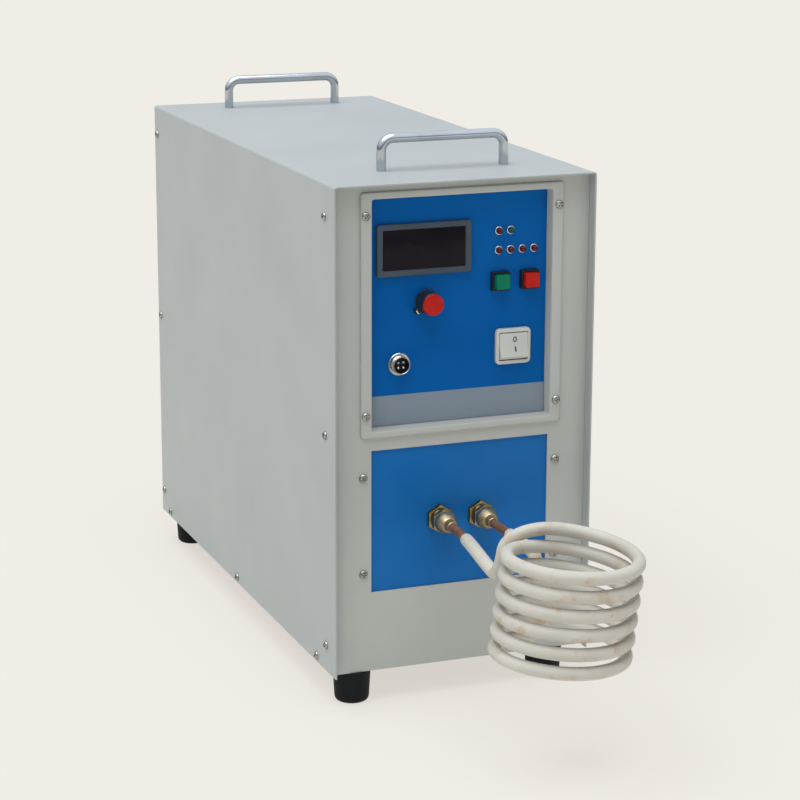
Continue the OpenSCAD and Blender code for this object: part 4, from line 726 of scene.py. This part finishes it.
def foot(name, node):
    """Turned rubber foot in the place of one CAD foot."""
    low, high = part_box(node)
    x, y = (low.x + high.x) / 2, (low.y + high.y) / 2
    height = (high.z - low.z) / MM
    profile = [(SCREW_R, height), (TOP_R - 0.3, height), (TOP_R, height - 0.4)]
    profile += round_corner(SOLE_R, RIM, SOLE_R - RIM, 0, 6)
    profile += [(WELL_R + 1.2, 0), (WELL_R + 0.4, 0.8), (WELL_R, WELL_H), (SCREW_R, WELL_H)]
    bm = bmesh.new()
    verts = [bm.verts.new(Vector((x + r * MM, y, low.z + z * MM))) for r, z in profile]
    edges = [bm.edges.new(pair) for pair in zip(verts, verts[1:] + verts[:1])]
    bmesh.ops.spin(bm, geom=verts + edges, cent=Vector((x, y, 0)), axis=(0, 0, 1),
                   angle=2 * pi, steps=56, use_merge=True)
    dress(mesh_object(name, bm), rubber, [node], 40)


for end in ("front", "rear"):
    for side in ("left", "right"):
        foot("rubber_foot_" + end[0] + side[0], "foot_" + end + "_" + side)
coat(zinc, "foot_screws", "handle_screws")

# %% [markdown]
# ## The panel meter
# The meter is a moulded frame round a smoked window. Its frame is flat in front, with a rolled
# outer edge and a chamfer that falls to the window. Walking the section from the back, over the
# face and down to the glass gives the whole frame in one stack.

# %% Meter frame and window
METER, CHAMFER = (90, 46.7, 2.4), (80.1, 37.6, 0.8)
WINDOW, GLASS = (78.5, 36, 0.5), (78.2, 35.7, 0.5)
SUNK = 1.2
meter_x, meter_z = middle("meter_frame")
meter_y = depth("meter_frame")[0]

sections = [(*METER, PLATE_Y)] + rolled(*METER, meter_y, 0.9)
sections += [(*CHAMFER, meter_y), (*WINDOW, meter_y + SUNK), (*WINDOW, PLATE_Y), (*METER, PLATE_Y)]
dress(layered("meter_surround", meter_x, meter_z, sections, closed=False), slate_abs,
      ["meter_frame"])
sections = [(*GLASS, PLATE_Y - 0.2)] + rolled(*GLASS, meter_y + SUNK, 0.3, steps=2)
dress(layered("meter_glass", meter_x, meter_z, sections), smoked_window, ["meter_window"])
coat(black_abs, "meter_housing")

# %% [markdown]
# ## Indicator lamps
# Six lamps sit in chromed holders. Each holder is a small turned flange with a rounded rim and a
# bore, and each lens is a dome a little wider than the bore, resting on the flange. One profile
# serves for all the holders and one for all the lenses.

# %% Lamps
LAMP_R, LENS_R, DOME_R, THREAD_R, BORE_R = 4.0, 2.5, 2.95, 3.2, 2.55
LAMP_GAP, ROW_GAP = 11.5, 17.7
lamp_x, lamp_top = 38.0, bezel_z + 68
red_spots = [(lamp_x, lamp_top)] + [(lamp_x + LAMP_GAP * i, lamp_top - ROW_GAP) for i in range(4)]
green_spots = [(lamp_x + LAMP_GAP, lamp_top)]
rim_y = PLATE_Y - 1.2
dome_y = PLATE_Y - 2

holder = [(THREAD_R, PLATE_Y + 8), (THREAD_R, PLATE_Y - 0.05), (LAMP_R, PLATE_Y - 0.05),
          (LAMP_R, PLATE_Y - 0.5)] + round_corner(LAMP_R, PLATE_Y - 0.5, LAMP_R - 0.8, rim_y)
holder += [(BORE_R + 0.2, rim_y), (BORE_R, rim_y + 0.3), (BORE_R, PLATE_Y + 8),
           (THREAD_R, PLATE_Y + 8)]
lens = [(AXIS, PLATE_Y + 7), (LENS_R, PLATE_Y + 7), (LENS_R, PLATE_Y - 1.3),
        (DOME_R, PLATE_Y - 1.5)]
lens += round_corner(DOME_R, dome_y, 0, dome_y - DOME_R, 6)[:-1] + [(AXIS, dome_y - DOME_R)]

dress(lathed("lamp_collars", red_spots + green_spots, holder, 32), chrome,
      ["lamp_holders"])
dress(lathed("red_domes", red_spots, lens, 28), red_lens, ["red_lenses"], 50)
dress(lathed("green_dome", green_spots, lens, 28), green_lens, ["green_lens"], 50)

# %% [markdown]
# ## Push buttons
# A button is a square cap that slides in a black surround. The cap's edges are rolled, and its
# face is dished very slightly, for the fingertip. It rides on its own body, so it really goes in
# when the joint moves. The surround and the switch behind it stay with the machine.

# %% Buttons
CAP, DISH_RIM, DISH = (13.3, 13.3, 1.5), (9.6, 9.6, 0.8), (8.4, 8.4, 0.6)
BASE, SHAFT_MOUTH = (17.5, 17.5, 1.2), (14.3, 14.3, 1.6)
SHAFT, SHAFT_END = (13.9, 13.9, 1.5), (10, 10, 1.5)
CAP_LOWER, BARREL_R = 3.5, 7.8


def push_button(side, body, cap_node, switch_node, colour):
    """Cap and surround of one button, in the place of its two CAD nodes."""
    x, z = middle(cap_node)
    front, back = depth(cap_node)
    front += CAP_LOWER
    sections = [(*CAP, back)] + rolled(*CAP, front, 1.2, steps=5)
    sections += [(*DISH_RIM, front), (*DISH, front + 0.15)]
    dress(layered(side + "_cap_moulding", x, z, sections), colour, [cap_node], 60, body)
    face, barrel_end = depth(switch_node)
    sections = [(*BASE, PLATE_Y)] + rolled(*BASE, face, 0.6, steps=3)
    sections += [(*SHAFT_MOUTH, face), (*SHAFT, face + 0.4), (*SHAFT, PLATE_Y - 0.3),
                 (*SHAFT_END, PLATE_Y - 0.3), (*SHAFT_END, PLATE_Y)]
    surround = layered(side + "_surround", x, z, sections)
    join(surround, lathed(side + "_barrel", [(x, z)], [
        (AXIS, PLATE_Y + 0.1), (BARREL_R, PLATE_Y + 0.1), (BARREL_R, barrel_end - 1),
        (BARREL_R - 0.8, barrel_end), (AXIS, barrel_end)], 32))
    dress(surround, black_abs, [switch_node])


push_button("start", "start_button", "start_cap", "start_switch", green_abs)
push_button("stop", "stop_button", "stop_cap", "stop_switch", red_abs)

# %% [markdown]
# ## The power knob
# A phenolic knob with a small skirt and a pointer wing, under a red cap. Body and cap are turned,
# the cap with a rolled edge. The wing is a stack of rounded rectangles made at the zero point and
# then aimed, so that its white mark can be aimed by the same turn.

# %% Knob
GRIP_R, SKIRT_R, HUB_R, CAP_R = 10.0, 11.3, 6.9, 9.7
POINTER = radians(232)
knob_x, knob_z = middle("pot_shaft")
knob_front, knob_back = depth("knob_body")
cap_front, cap_back = depth("knob_cap")

grip = lathed("knob_moulding", [(knob_x, knob_z)], [
    (AXIS, knob_front), (GRIP_R - 0.4, knob_front), (GRIP_R, knob_front + 0.4),
    (GRIP_R + 0.7, knob_back - 1.2), (SKIRT_R, knob_back - 0.8), (SKIRT_R, knob_back),
    (HUB_R, knob_back), (HUB_R, knob_back - 2.7), (AXIS, knob_back - 2.7)], 96)
aim = put(knob_x, knob_back, knob_z) @ Matrix.Rotation(POINTER, 4, "Y")


def on_wing(made, out):
    """Moves a piece of the pointer out along the way that it points."""
    return moved(made, aim @ Matrix.Translation(Vector((0, 0, out * MM))))


wing = [(5, 15, 1, 0)] + rolled(5, 15, 1.6, -5, 0.8, steps=3) + [(1.0, 11, 0.4, -5.3)]
join(grip, on_wing(layered("wing", 0, 0, wing), 7.5))
dress(grip, knob_black, ["knob_body"], body="power_knob")
mark = [(3.6, 0.9, 0.2, -4.9), (3.6, 0.9, 0.2, -5.25)]
dress(on_wing(layered("pointer_line", 0, 0, mark), 13.4), print_white,
      body="power_knob")

cap = [(AXIS, cap_back - 0.02), (CAP_R, cap_back - 0.02), (CAP_R, cap_front + 1.3)]
cap += round_corner(CAP_R, cap_front + 1.3, CAP_R - 1.2, cap_front + 0.1, 5)
cap += [(5, cap_front), (AXIS, cap_front)]
dress(lathed("knob_button", [(knob_x, knob_z)], cap, 64), red_abs, ["knob_cap"], 50,
      "power_knob")
coat(nickel, "pot_shaft")
coat(black_abs, "pot_body")

# %% [markdown]
# ## The rocker switch
# The switch has a broad grey frame with generous corners and a key that tips about its middle.
# A black liner sits in the frame's pocket as painted shade: a dark sheet where the gap round the
# key is only in shadow, and its dark edge is what draws the key. The key's front is two flats that
# meet at a shallow ridge, and its section is pulled sideways into a solid. O and I are the marks
# that every mains switch carries, so they are here too, as thin printed inlays on the key.

# %% Rocker frame and painted-shade liner
ROCKER = (34, 33, 4)
POCKET_W, POCKET_H, MOUTH_H, POCKET_R = 28.1, 27.3, 25.9, 0.4
rocker_x, rocker_z = middle("rocker_frame")
rocker_front, rocker_back = depth("rocker_frame")
well_y, well_end = rocker_front + 0.8, rocker_back - 2


def pocket(more, y, mouth=False):
    """Section of the pocket, wider by so much, at its mouth or below it."""
    return POCKET_W + more, (MOUTH_H if mouth else POCKET_H) + more, POCKET_R, y


rim = (POCKET_W + 0.6, MOUTH_H + 0.6, 0.7, rocker_front)
sections = [(*ROCKER, PLATE_Y)] + rolled(*ROCKER, rocker_front, 1.4, steps=5)
sections += [rim, pocket(0, rocker_front + 0.3, True), pocket(0, well_y, True),
             pocket(0.8, well_y), pocket(0.8, well_end), pocket(2.6, well_end),
             pocket(2.6, PLATE_Y), (*ROCKER, PLATE_Y)]
dress(layered("rocker_surround", rocker_x, rocker_z, sections, closed=False), rocker_abs,
      ["rocker_frame"])
# Black liner in the pocket: painted shade, a dark sheet standing in for the shadow round the key.
shade_liner_top = pocket(0.7, well_y + 0.02)
sections = [shade_liner_top, pocket(0, well_y + 0.02, True), pocket(0, rocker_front + 3),
            pocket(0, well_end - 0.1), pocket(0.7, well_end - 0.1), shade_liner_top]
dress(layered("rocker_painted_shade_liner", rocker_x, rocker_z, sections, closed=False), black_abs)

# %% Rocker key
KEY_W, KEY_H, KEY_TILT, RIDGE = 27.5, 21.0, radians(11), 5.5
pivot_y = PLATE_Y + 1
rise = RIDGE + KEY_H / 2 * tan(KEY_TILT)
end_r = hypot(KEY_H / 2, rise)
start_a, end_a = atan2(KEY_H / 2, rise), radians(115)

half = [(0, -RIDGE), (KEY_H / 2, -rise)]
half += [(end_r * sin(a), -end_r * cos(a))
         for a in (start_a + (end_a - start_a) * i / 8 for i in range(1, 9))]
section = [(-z, y) for z, y in reversed(half[1:])] + half
tip = put(rocker_x, pivot_y, rocker_z) @ Matrix.Rotation(-KEY_TILT, 4, "X")

bm = bmesh.new()
verts = [bm.verts.new(tip @ (Vector((-KEY_W / 2, y, z)) * MM)) for z, y in section]
side_face = bm.faces.new(verts)
pull(bm, [side_face], tip.to_3x3() @ Vector((KEY_W * MM, 0, 0)))
key = soften(mesh_object("rocker_key_moulding", bm), 0.45, 3, 40)
dress(key, rocker_abs, ["rocker_key"], 40, "rocker")

# %% Marks on the key
INLAY, PROUD = 0.05, -0.06


def key_mark(name, sections, x, z, half, closed=True):
    """Thin printed inlay that lies on the upper (1) or lower (-1) half of the key's front."""
    made = layered(name, x, 0, sections, closed)
    seat = Matrix.Translation(Vector((0, -RIDGE - abs(z) * tan(KEY_TILT), z)) * MM)
    lean = Matrix.Rotation(half * KEY_TILT, 4, "X")
    dress(moved(made, tip @ seat @ lean), print_black, body="rocker")


ring_out, ring_in, bar = (3.8, 5.0, 1.8), (1.8, 3.0, 0.8), (1.3, 5.0, 0.2)
key_mark("mark_off", [(*ring_out, INLAY), (*ring_out, PROUD), (*ring_in, PROUD), (*ring_in, INLAY),
                      (*ring_out, INLAY)], 1, 5.2, 1, closed=False)
key_mark("mark_on", [(*bar, INLAY), (*bar, PROUD)], 1.2, -3.8, -1)

# %% [markdown]
# ## The control socket
# A round metal socket with a flange, a threaded collar and a black insert with four pins. The
# thread is drawn as fine turned grooves, which at this size look the same as a real one. The
# insert is a turned cup with a key slot, and the pins are turned rods with blunt noses.

# %% Socket
COLLAR_R, MOUTH_R, FLANGE_R, TAIL_R, PIN_R, PIN_CIRCLE = 7.9, 7.4, 10.35, 6.6, 1.1, 3.5
THREAD_STEP = 0.8
socket_x, socket_z = middle("socket_shell")
socket_front, socket_end = depth("socket_shell")
flange_y = PLATE_Y - 2
centre = [(socket_x, socket_z)]

shell = [(TAIL_R, socket_end), (TAIL_R, PLATE_Y), (MOUTH_R, PLATE_Y), (MOUTH_R, socket_front + 0.2),
         (MOUTH_R + 0.2, socket_front), (COLLAR_R, socket_front)]
for i in range(6):
    y = socket_front + THREAD_STEP * (i + 1)
    shell += [(COLLAR_R + 0.3, y), (COLLAR_R - 0.05, y + THREAD_STEP / 2)]
shell += [(COLLAR_R - 0.2, flange_y), (FLANGE_R - 0.45, flange_y), (FLANGE_R, flange_y + 0.45),
          (FLANGE_R, PLATE_Y), (COLLAR_R, PLATE_Y), (COLLAR_R, socket_end), (TAIL_R, socket_end)]
dress(lathed("socket_collar", centre, shell, 56), nickel, ["socket_shell"], 25)

insert = lathed("socket_moulding", centre, [
    (AXIS, PLATE_Y - 2), (6.7, PLATE_Y - 2), (6.7, socket_front + 1),
    (MOUTH_R - 0.1, socket_front + 1), (MOUTH_R - 0.1, PLATE_Y - 0.2), (TAIL_R - 0.1, PLATE_Y - 0.2), (TAIL_R - 0.1, PLATE_Y + 18),
    (AXIS, PLATE_Y + 18)], 48)
slot_place = put(socket_x, PLATE_Y - 3, socket_z + 6.6)
carve(insert, block("key_slot", slot_place, (1.8, 5, 2)))
dress(insert, black_abs, ["socket_insert"])

around = [radians(a) for a in (45, 135, 225, 315)]
pin_spots = [(socket_x + PIN_CIRCLE * cos(a), socket_z + PIN_CIRCLE * sin(a)) for a in around]
dress(lathed("socket_contacts", pin_spots, [
    (AXIS, PLATE_Y + 20), (PIN_R, PLATE_Y + 20), (PIN_R, socket_front + 2.2),
    (PIN_R - 0.4, socket_front + 1.8), (AXIS, socket_front + 1.7)], 16), nickel,
    ["socket_pins"])

# %% [markdown]
# ## Bulkhead fittings
# The coil screws onto two brass fittings. A nut's look comes from its chamfer: a hexagon bar is
# turned down at the corners, so the flats end in shallow arcs. That is how it is made here too,
# by keeping what a hexagon and a turned cone have in common. The neck has turned grooves for its
# thread, and the flare nut is a cone with a small land round the tube.

# %% Hexagons


def hexagon(name, x, z, w, y0, y1, both=True):
    """Hexagon bar with turned corners in front, and at the back where both ends show."""
    corner = w / 2 / cos(radians(30))
    bm = bmesh.new()
    bmesh.ops.create_circle(bm, cap_ends=True, segments=6, radius=corner * MM,
                            matrix=put(x, y0, z)
                            @ Matrix.Rotation(radians(90), 4, "X"))
    pull(bm, list(bm.faces), Vector((0, (y1 - y0) * MM, 0)))
    bar = mesh_object(name, bm)
    flat, full = w / 2 - 0.3, corner + 0.05
    fall = (corner - flat) * tan(radians(30))
    back = [(full, y1 - fall), (flat, y1)] if both else [(full, y1)]
    turning = lathed("turning", [(x, z)], [(AXIS, y0), (flat, y0), (full, y0 + fall)] + back
                     + [(AXIS, y1)])
    return carve(bar, turning, "INTERSECT")


# %% Fittings and nuts
FIT_AF, NUT_AF, NECK_R, BORE, THREAD_PITCH = 20, 22.4, 9.0, 4.2, 1.6
BACK_NUT = (19.9, 25.9)
nut_front, nut_back = depth("lock_nuts")


def fitting(side, fit_node, flare_node):
    """Bulkhead body and flare nut of one side. Gives the place of its axis."""
    x, z = middle(flare_node)
    hex_front, neck_end = depth(fit_node)
    flare_front, flare_back = depth(flare_node)
    body = hexagon(side + "_bulkhead", x, z, FIT_AF, hex_front, hex_front + 6)
    neck_front = hex_front + 5.6
    neck = [(AXIS, neck_front)]
    for i in range(7):
        y = neck_front + i * THREAD_PITCH
        neck += [(NECK_R, y), (NECK_R - 0.7, y + THREAD_PITCH / 2)]
    join(body, lathed("neck", [(x, z)], neck + [(NECK_R, neck_end), (AXIS, neck_end)]))
    join(body, hexagon("back_nut", x, z, NUT_AF, *BACK_NUT))
    dress(body, brass, [fit_node])
    cone_y = flare_front + 6
    dress(lathed(side + "_flare_cone", [(x, z)], [
        (BORE, flare_back), (9.4, flare_back), (10, flare_back - 0.6), (10, flare_back - 4.2),
        (9.7, flare_back - 5.2), (6.9, cone_y + 0.5), (6.4, cone_y), (5.4, cone_y),
        (5.1, cone_y + 0.5), (4.8, cone_y + 0.3), (4.8, flare_front + 0.4), (4.5, flare_front),
        (BORE, flare_front), (BORE, flare_back)], 56), cone_brass, [flare_node], 35)
    return x, z


def lock_nut(name, spot):
    """Bored hexagon against the board."""
    nut = hexagon(name, *spot, NUT_AF, nut_front, nut_back, both=False)
    return carve(nut, lathed("drill", [spot], [
        (AXIS, nut_front - 1), (NECK_R + 0.1, nut_front - 1), (NECK_R + 0.1, nut_back + 1),
        (AXIS, nut_back + 1)], 40))


left_spot = fitting("left", "fitting_left", "flare_nut_left")
right_spot = fitting("right", "fitting_right", "flare_nut_right")
nuts = lock_nut("lock_nut_rings", left_spot)
join(nuts, lock_nut("other_nut", right_spot))
dress(nuts, nut_brass, ["lock_nuts"])

# %% [markdown]
# ## The coil
# The heating coil is one copper tube: out of the left fitting, up into the top turn, six turns
# down, and back up behind the turns to the right fitting. Its line is worked out by rule, a helix
# between two smooth leads, so it lies exactly where the frame's tube lies. A ring of points is
# carried along that line without twisting, and the rings are bridged. The sleeve follows the same
# line a little wider, with its cut ends open, and its radius drifts by a tenth of a millimetre,
# because a soft sleeve is never a perfect tube.

# %% The turns
COIL_R, PITCH, TURNS = 55.4, 16.5, 6
COIL_OUT, COIL_SIDE, LEAN, TIP = 195, 12.5, radians(6.3), radians(1.5)
START, END = 98, TURNS * 360 + 82
FIT_Z, FIT_X, FLARE_FACE, INSIDE = 138.5, 20, -13.2, 2.5
coil_mid = FIT_Z - 15.8


def helix(a):
    """Point of the leaning coil after so many degrees from its top left."""
    x, y = -COIL_R * cos(radians(a)), COIL_R * sin(radians(a))
    z = (TURNS / 2 - a / 360) * PITCH
    x, z = x * cos(LEAN) + z * sin(LEAN), z * cos(LEAN) - x * sin(LEAN)
    y, z = y * cos(TIP) - z * sin(TIP), y * sin(TIP) + z * cos(TIP)
    return Vector((COIL_SIDE + x, y - COIL_OUT, coil_mid + z))


def heading(a):
    """Way that the tube runs at this angle."""
    return (helix(a + 1) - helix(a - 1)).normalized()


# %% The leads
FINE = 4


def stop(x, y, z, *way):
    """A place on a lead, and the way that the tube runs there."""
    return Vector((x, y, z)), Vector(way).normalized()


def stretch(p, q, steps):
    """Smooth stretch from one stop to the next, without its last point."""
    reach = (q[0] - p[0]).length
    return [(1 + 2 * t) * (1 - t) ** 2 * p[0] + t * (1 - t) ** 2 * reach * p[1]
            + t * t * (3 - 2 * t) * q[0] - t * t * (1 - t) * reach * q[1]
            for t in (i / steps for i in range(steps))]


coil_back, half_h = COIL_R - COIL_OUT, TURNS * PITCH / 2
coil_top, coil_low = coil_mid + half_h, coil_mid - half_h
lead_out = FLARE_FACE - 6 - INSIDE
left_stops = [stop(-FIT_X, INSIDE, FIT_Z, 0, -1, 0), stop(-FIT_X, lead_out, FIT_Z, 0, -1, 0),
              stop(-FIT_X, -50.5, FIT_Z - 1.6, 0, -1, -0.12),
              stop(-FIT_X, -112, FIT_Z - 13, 0, -1, -0.12),
              stop(-FIT_X + 1, coil_back + 8, coil_top - 22, 0.1, -0.1, 1),
              (helix(START), heading(START))]
right_stops = [(helix(END), heading(END)),
               stop(FIT_X + 1, coil_back + 19.6, coil_low + 19, 0, 0.05, 1),
               stop(FIT_X + 1, coil_back + 20.6, FIT_Z - 27, 0, 0.05, 1),
               stop(FIT_X + 1, coil_back + 39.2, FIT_Z - 1.6, 0, 1, 0.03),
               stop(FIT_X, -56, FIT_Z, 0, 1, 0), stop(FIT_X, lead_out, FIT_Z, 0, 1, 0),
               stop(FIT_X, INSIDE, FIT_Z, 0, 1, 0)]
left_steps, right_steps = [2, 2, 4, 5, 5], [5, 1, 5, 2, 1, 2]

line = []
for one, two, steps in zip(left_stops, left_stops[1:], left_steps):
    line += stretch(one, two, steps * FINE)
rings = int((END - START) / 360 * 24) * 2
line += [helix(START + (END - START) * i / rings) for i in range(rings)]
for one, two, steps in zip(right_stops, right_stops[1:], right_steps):
    line += stretch(one, two, steps * FINE)
line.append(right_stops[-1][0])
left_bare = sum(left_steps[:2]) * FINE
right_bare = len(line) - 1 - sum(right_steps[4:]) * FINE
run = sum((b - a).length for a, b in zip(line, line[1:]))
print("tube line:", len(line), "points,", round(run), "mm long")

# %% Rings along the line


def carried(points):
    """Matrix at each point, its Z along the line and its X turned as little as possible."""
    side = Vector((0, 0, 1))
    made = []
    for before, p, after in zip(points[:1] + points, points, points[1:] + points[-1:]):
        way = (after - before).normalized()
        side = (side - side.dot(way) * way).normalized()
        turn = Matrix((side, way.cross(side), way)).transposed()
        made.append(put(*p) @ turn.to_4x4())
    return made


def tube(bm, rows, sides):
    """Bridges rings of (matrix, radius) in order."""
    before = None
    for place, radius in rows:
        ring = bmesh.ops.create_circle(bm, cap_ends=False, segments=sides, radius=radius * MM,
                                       matrix=place)
        edges = list({e for v in ring["verts"] for e in v.link_edges})
        if before:
            bridge(bm, before, edges, place.to_3x3() @ Vector((0, 0, HOLD_APART * MM)))
        before = edges


# %% The bare copper ends
TUBE_R, UNDER_SLEEVE = 4.0, 12

places = carried(line)
bm = bmesh.new()
for bare in (places[:left_bare + UNDER_SLEEVE], places[right_bare - UNDER_SLEEVE:]):
    tube(bm, [(place, TUBE_R) for place in bare], 32)
dress(mesh_object("copper_tube_ends", bm), copper, ["coil_tube"], 60)

# %% The sleeve
SLEEVE_R, SLEEVE_WALL, CUT_EDGE = 5.9, 1.6, 0.5
bore_r = SLEEVE_R - SLEEVE_WALL

covered = places[left_bare:right_bare + 1]
rows = [(covered[6], bore_r), (covered[1], bore_r), (covered[0], bore_r + 0.1),
        (covered[0], SLEEVE_R - CUT_EDGE)]
for place in covered[1:-1]:
    drift = 0.13 * noise.noise(place.translation * 45) + 0.06 * noise.noise(place.translation * 160)
    rows.append((place, SLEEVE_R - 0.05 + drift))
rows += [(covered[-1], SLEEVE_R - CUT_EDGE), (covered[-1], bore_r + 0.1), (covered[-2], bore_r),
         (covered[-7], bore_r)]
bm = bmesh.new()
tube(bm, rows, 24)
dress(mesh_object("coil_sleeving", bm), sleeve, ["coil_sleeve"], 60)

# %% [markdown]
# ## Inside and behind
# The transformer, capacitors and boards are hidden by the case and only glimpsed through the fan
# opening, so their solids stay and just get believable materials. The fan, guard and fittings at
# the back can be seen, and get metal, plastic and brass of their own.

# %% Materials for the rest
coat(ferrite, "transformer_core")
coat(copper, "transformer_winding")
coat(film_can, "tank_capacitors", "filter_capacitors")
coat(aluminium, "cold_plate")
coat(black_abs, "power_modules", "fan_frame", "fan_rotor", "cable_gland")
coat(solder_mask, "control_board")
coat(chrome, "fan_guard")
coat(nut_brass, "water_fittings", "earth_stud")
coat(hose_blue, "water_hoses")

# %% [markdown]
# ## Floor, backdrop and light
# The picture's ground is one pale tone without a horizon. The floor shows the camera mostly its
# own pale colour, and keeps a share of real light so that the machine's soft shadow still grounds
# it. The world shows the camera the same tone. What shiny surfaces see of it grows from grey at
# the horizon to bright above, so that chrome has something to draw. Light comes from an even sky
# and one very soft sun, at a level where a painted colour renders about as it is written.

# %% Floor
PALE = tint("#efece5")
GROUND_SHARE = 0.2
OPEN_LIGHT = (1.225, 1.29, 1.318)

bpy.ops.mesh.primitive_plane_add(size=60, location=(0, 0, 0))
floor = bpy.context.object
floor.name = "floor"
# Matt backdrop paper, rolled smooth: one even tone that takes a soft shadow.
ground = bpy.data.materials.new("pale_floor")
tree = cleared(ground)
rest = tuple(c * (1 - GROUND_SHARE * light) for c, light in zip(PALE, OPEN_LIGHT)) + (1,)
own_light = add(tree, "Emission", {"Color": rest, "Strength": 1.0})
lit = add(tree, "BsdfDiffuse", {"Color": tuple(c * GROUND_SHARE for c in PALE[:3]) + (1,)})
seen = add(tree, "AddShader", {0: own_light.outputs[0], 1: lit.outputs[0]})
plain = add(tree, "BsdfDiffuse", {"Color": PALE})
path = add(tree, "LightPath")
looked_at = add(tree, "Math", {0: path.outputs["Is Camera Ray"], 1: path.outputs["Is Glossy Ray"]},
                operation="MAXIMUM")
both = add(tree, "MixShader", {0: looked_at.outputs[0], 1: plain.outputs[0], 2: seen.outputs[0]})
add(tree, "OutputMaterial", {"Surface": both.outputs[0]})
floor.data.materials.append(ground)

# %% World
SKY_LIGHT = 0.36
HORIZON, ZENITH = (0.1, 0.3), (0.55, 1.15)

world = bpy.data.worlds.new("studio")
bpy.context.scene.world = world
tree = cleared(world)
path = add(tree, "LightPath")
sky = add(tree, "Background", {"Color": (1.0, 1.0, 1.0, 1), "Strength": SKY_LIGHT})
shown = add(tree, "Background", {"Color": PALE, "Strength": 1.0})
height = add(tree, "SeparateXYZ", {0: add(tree, "TexCoord").outputs["Generated"]})
climb = add(tree, "MapRange", {"Value": height.outputs["Z"], "From Min": HORIZON[0],
                               "From Max": ZENITH[0], "To Min": HORIZON[1], "To Max": ZENITH[1]})
mirrored = add(tree, "Background", {"Color": (0.86, 0.92, 1.0, 1), "Strength": climb.outputs[0]})
straight = add(tree, "Math", {0: path.outputs["Is Camera Ray"],
                              1: path.outputs["Is Transmission Ray"]}, operation="MAXIMUM")
open_sky = add(tree, "MixShader", {0: straight.outputs[0], 1: sky.outputs[0], 2: shown.outputs[0]})
mixed = add(tree, "MixShader", {0: path.outputs["Is Glossy Ray"], 1: open_sky.outputs[0],
                                2: mirrored.outputs[0]})
add(tree, "OutputWorld", {"Surface": mixed.outputs[0]})

# %% Light
FROM, STRENGTH, SPREAD = Vector((-0.222, -0.104, 0.97)), 3.15, radians(60)

sun_data = bpy.data.lights.new("overhead", "SUN")
sun_data.energy, sun_data.angle, sun_data.color = STRENGTH, SPREAD, (0.94, 1.0, 1.03)
sun = bpy.data.objects.new("overhead", sun_data)
sun.rotation_euler = (-FROM).to_track_quat("-Z", "Y").to_euler()
bpy.context.collection.objects.link(sun)
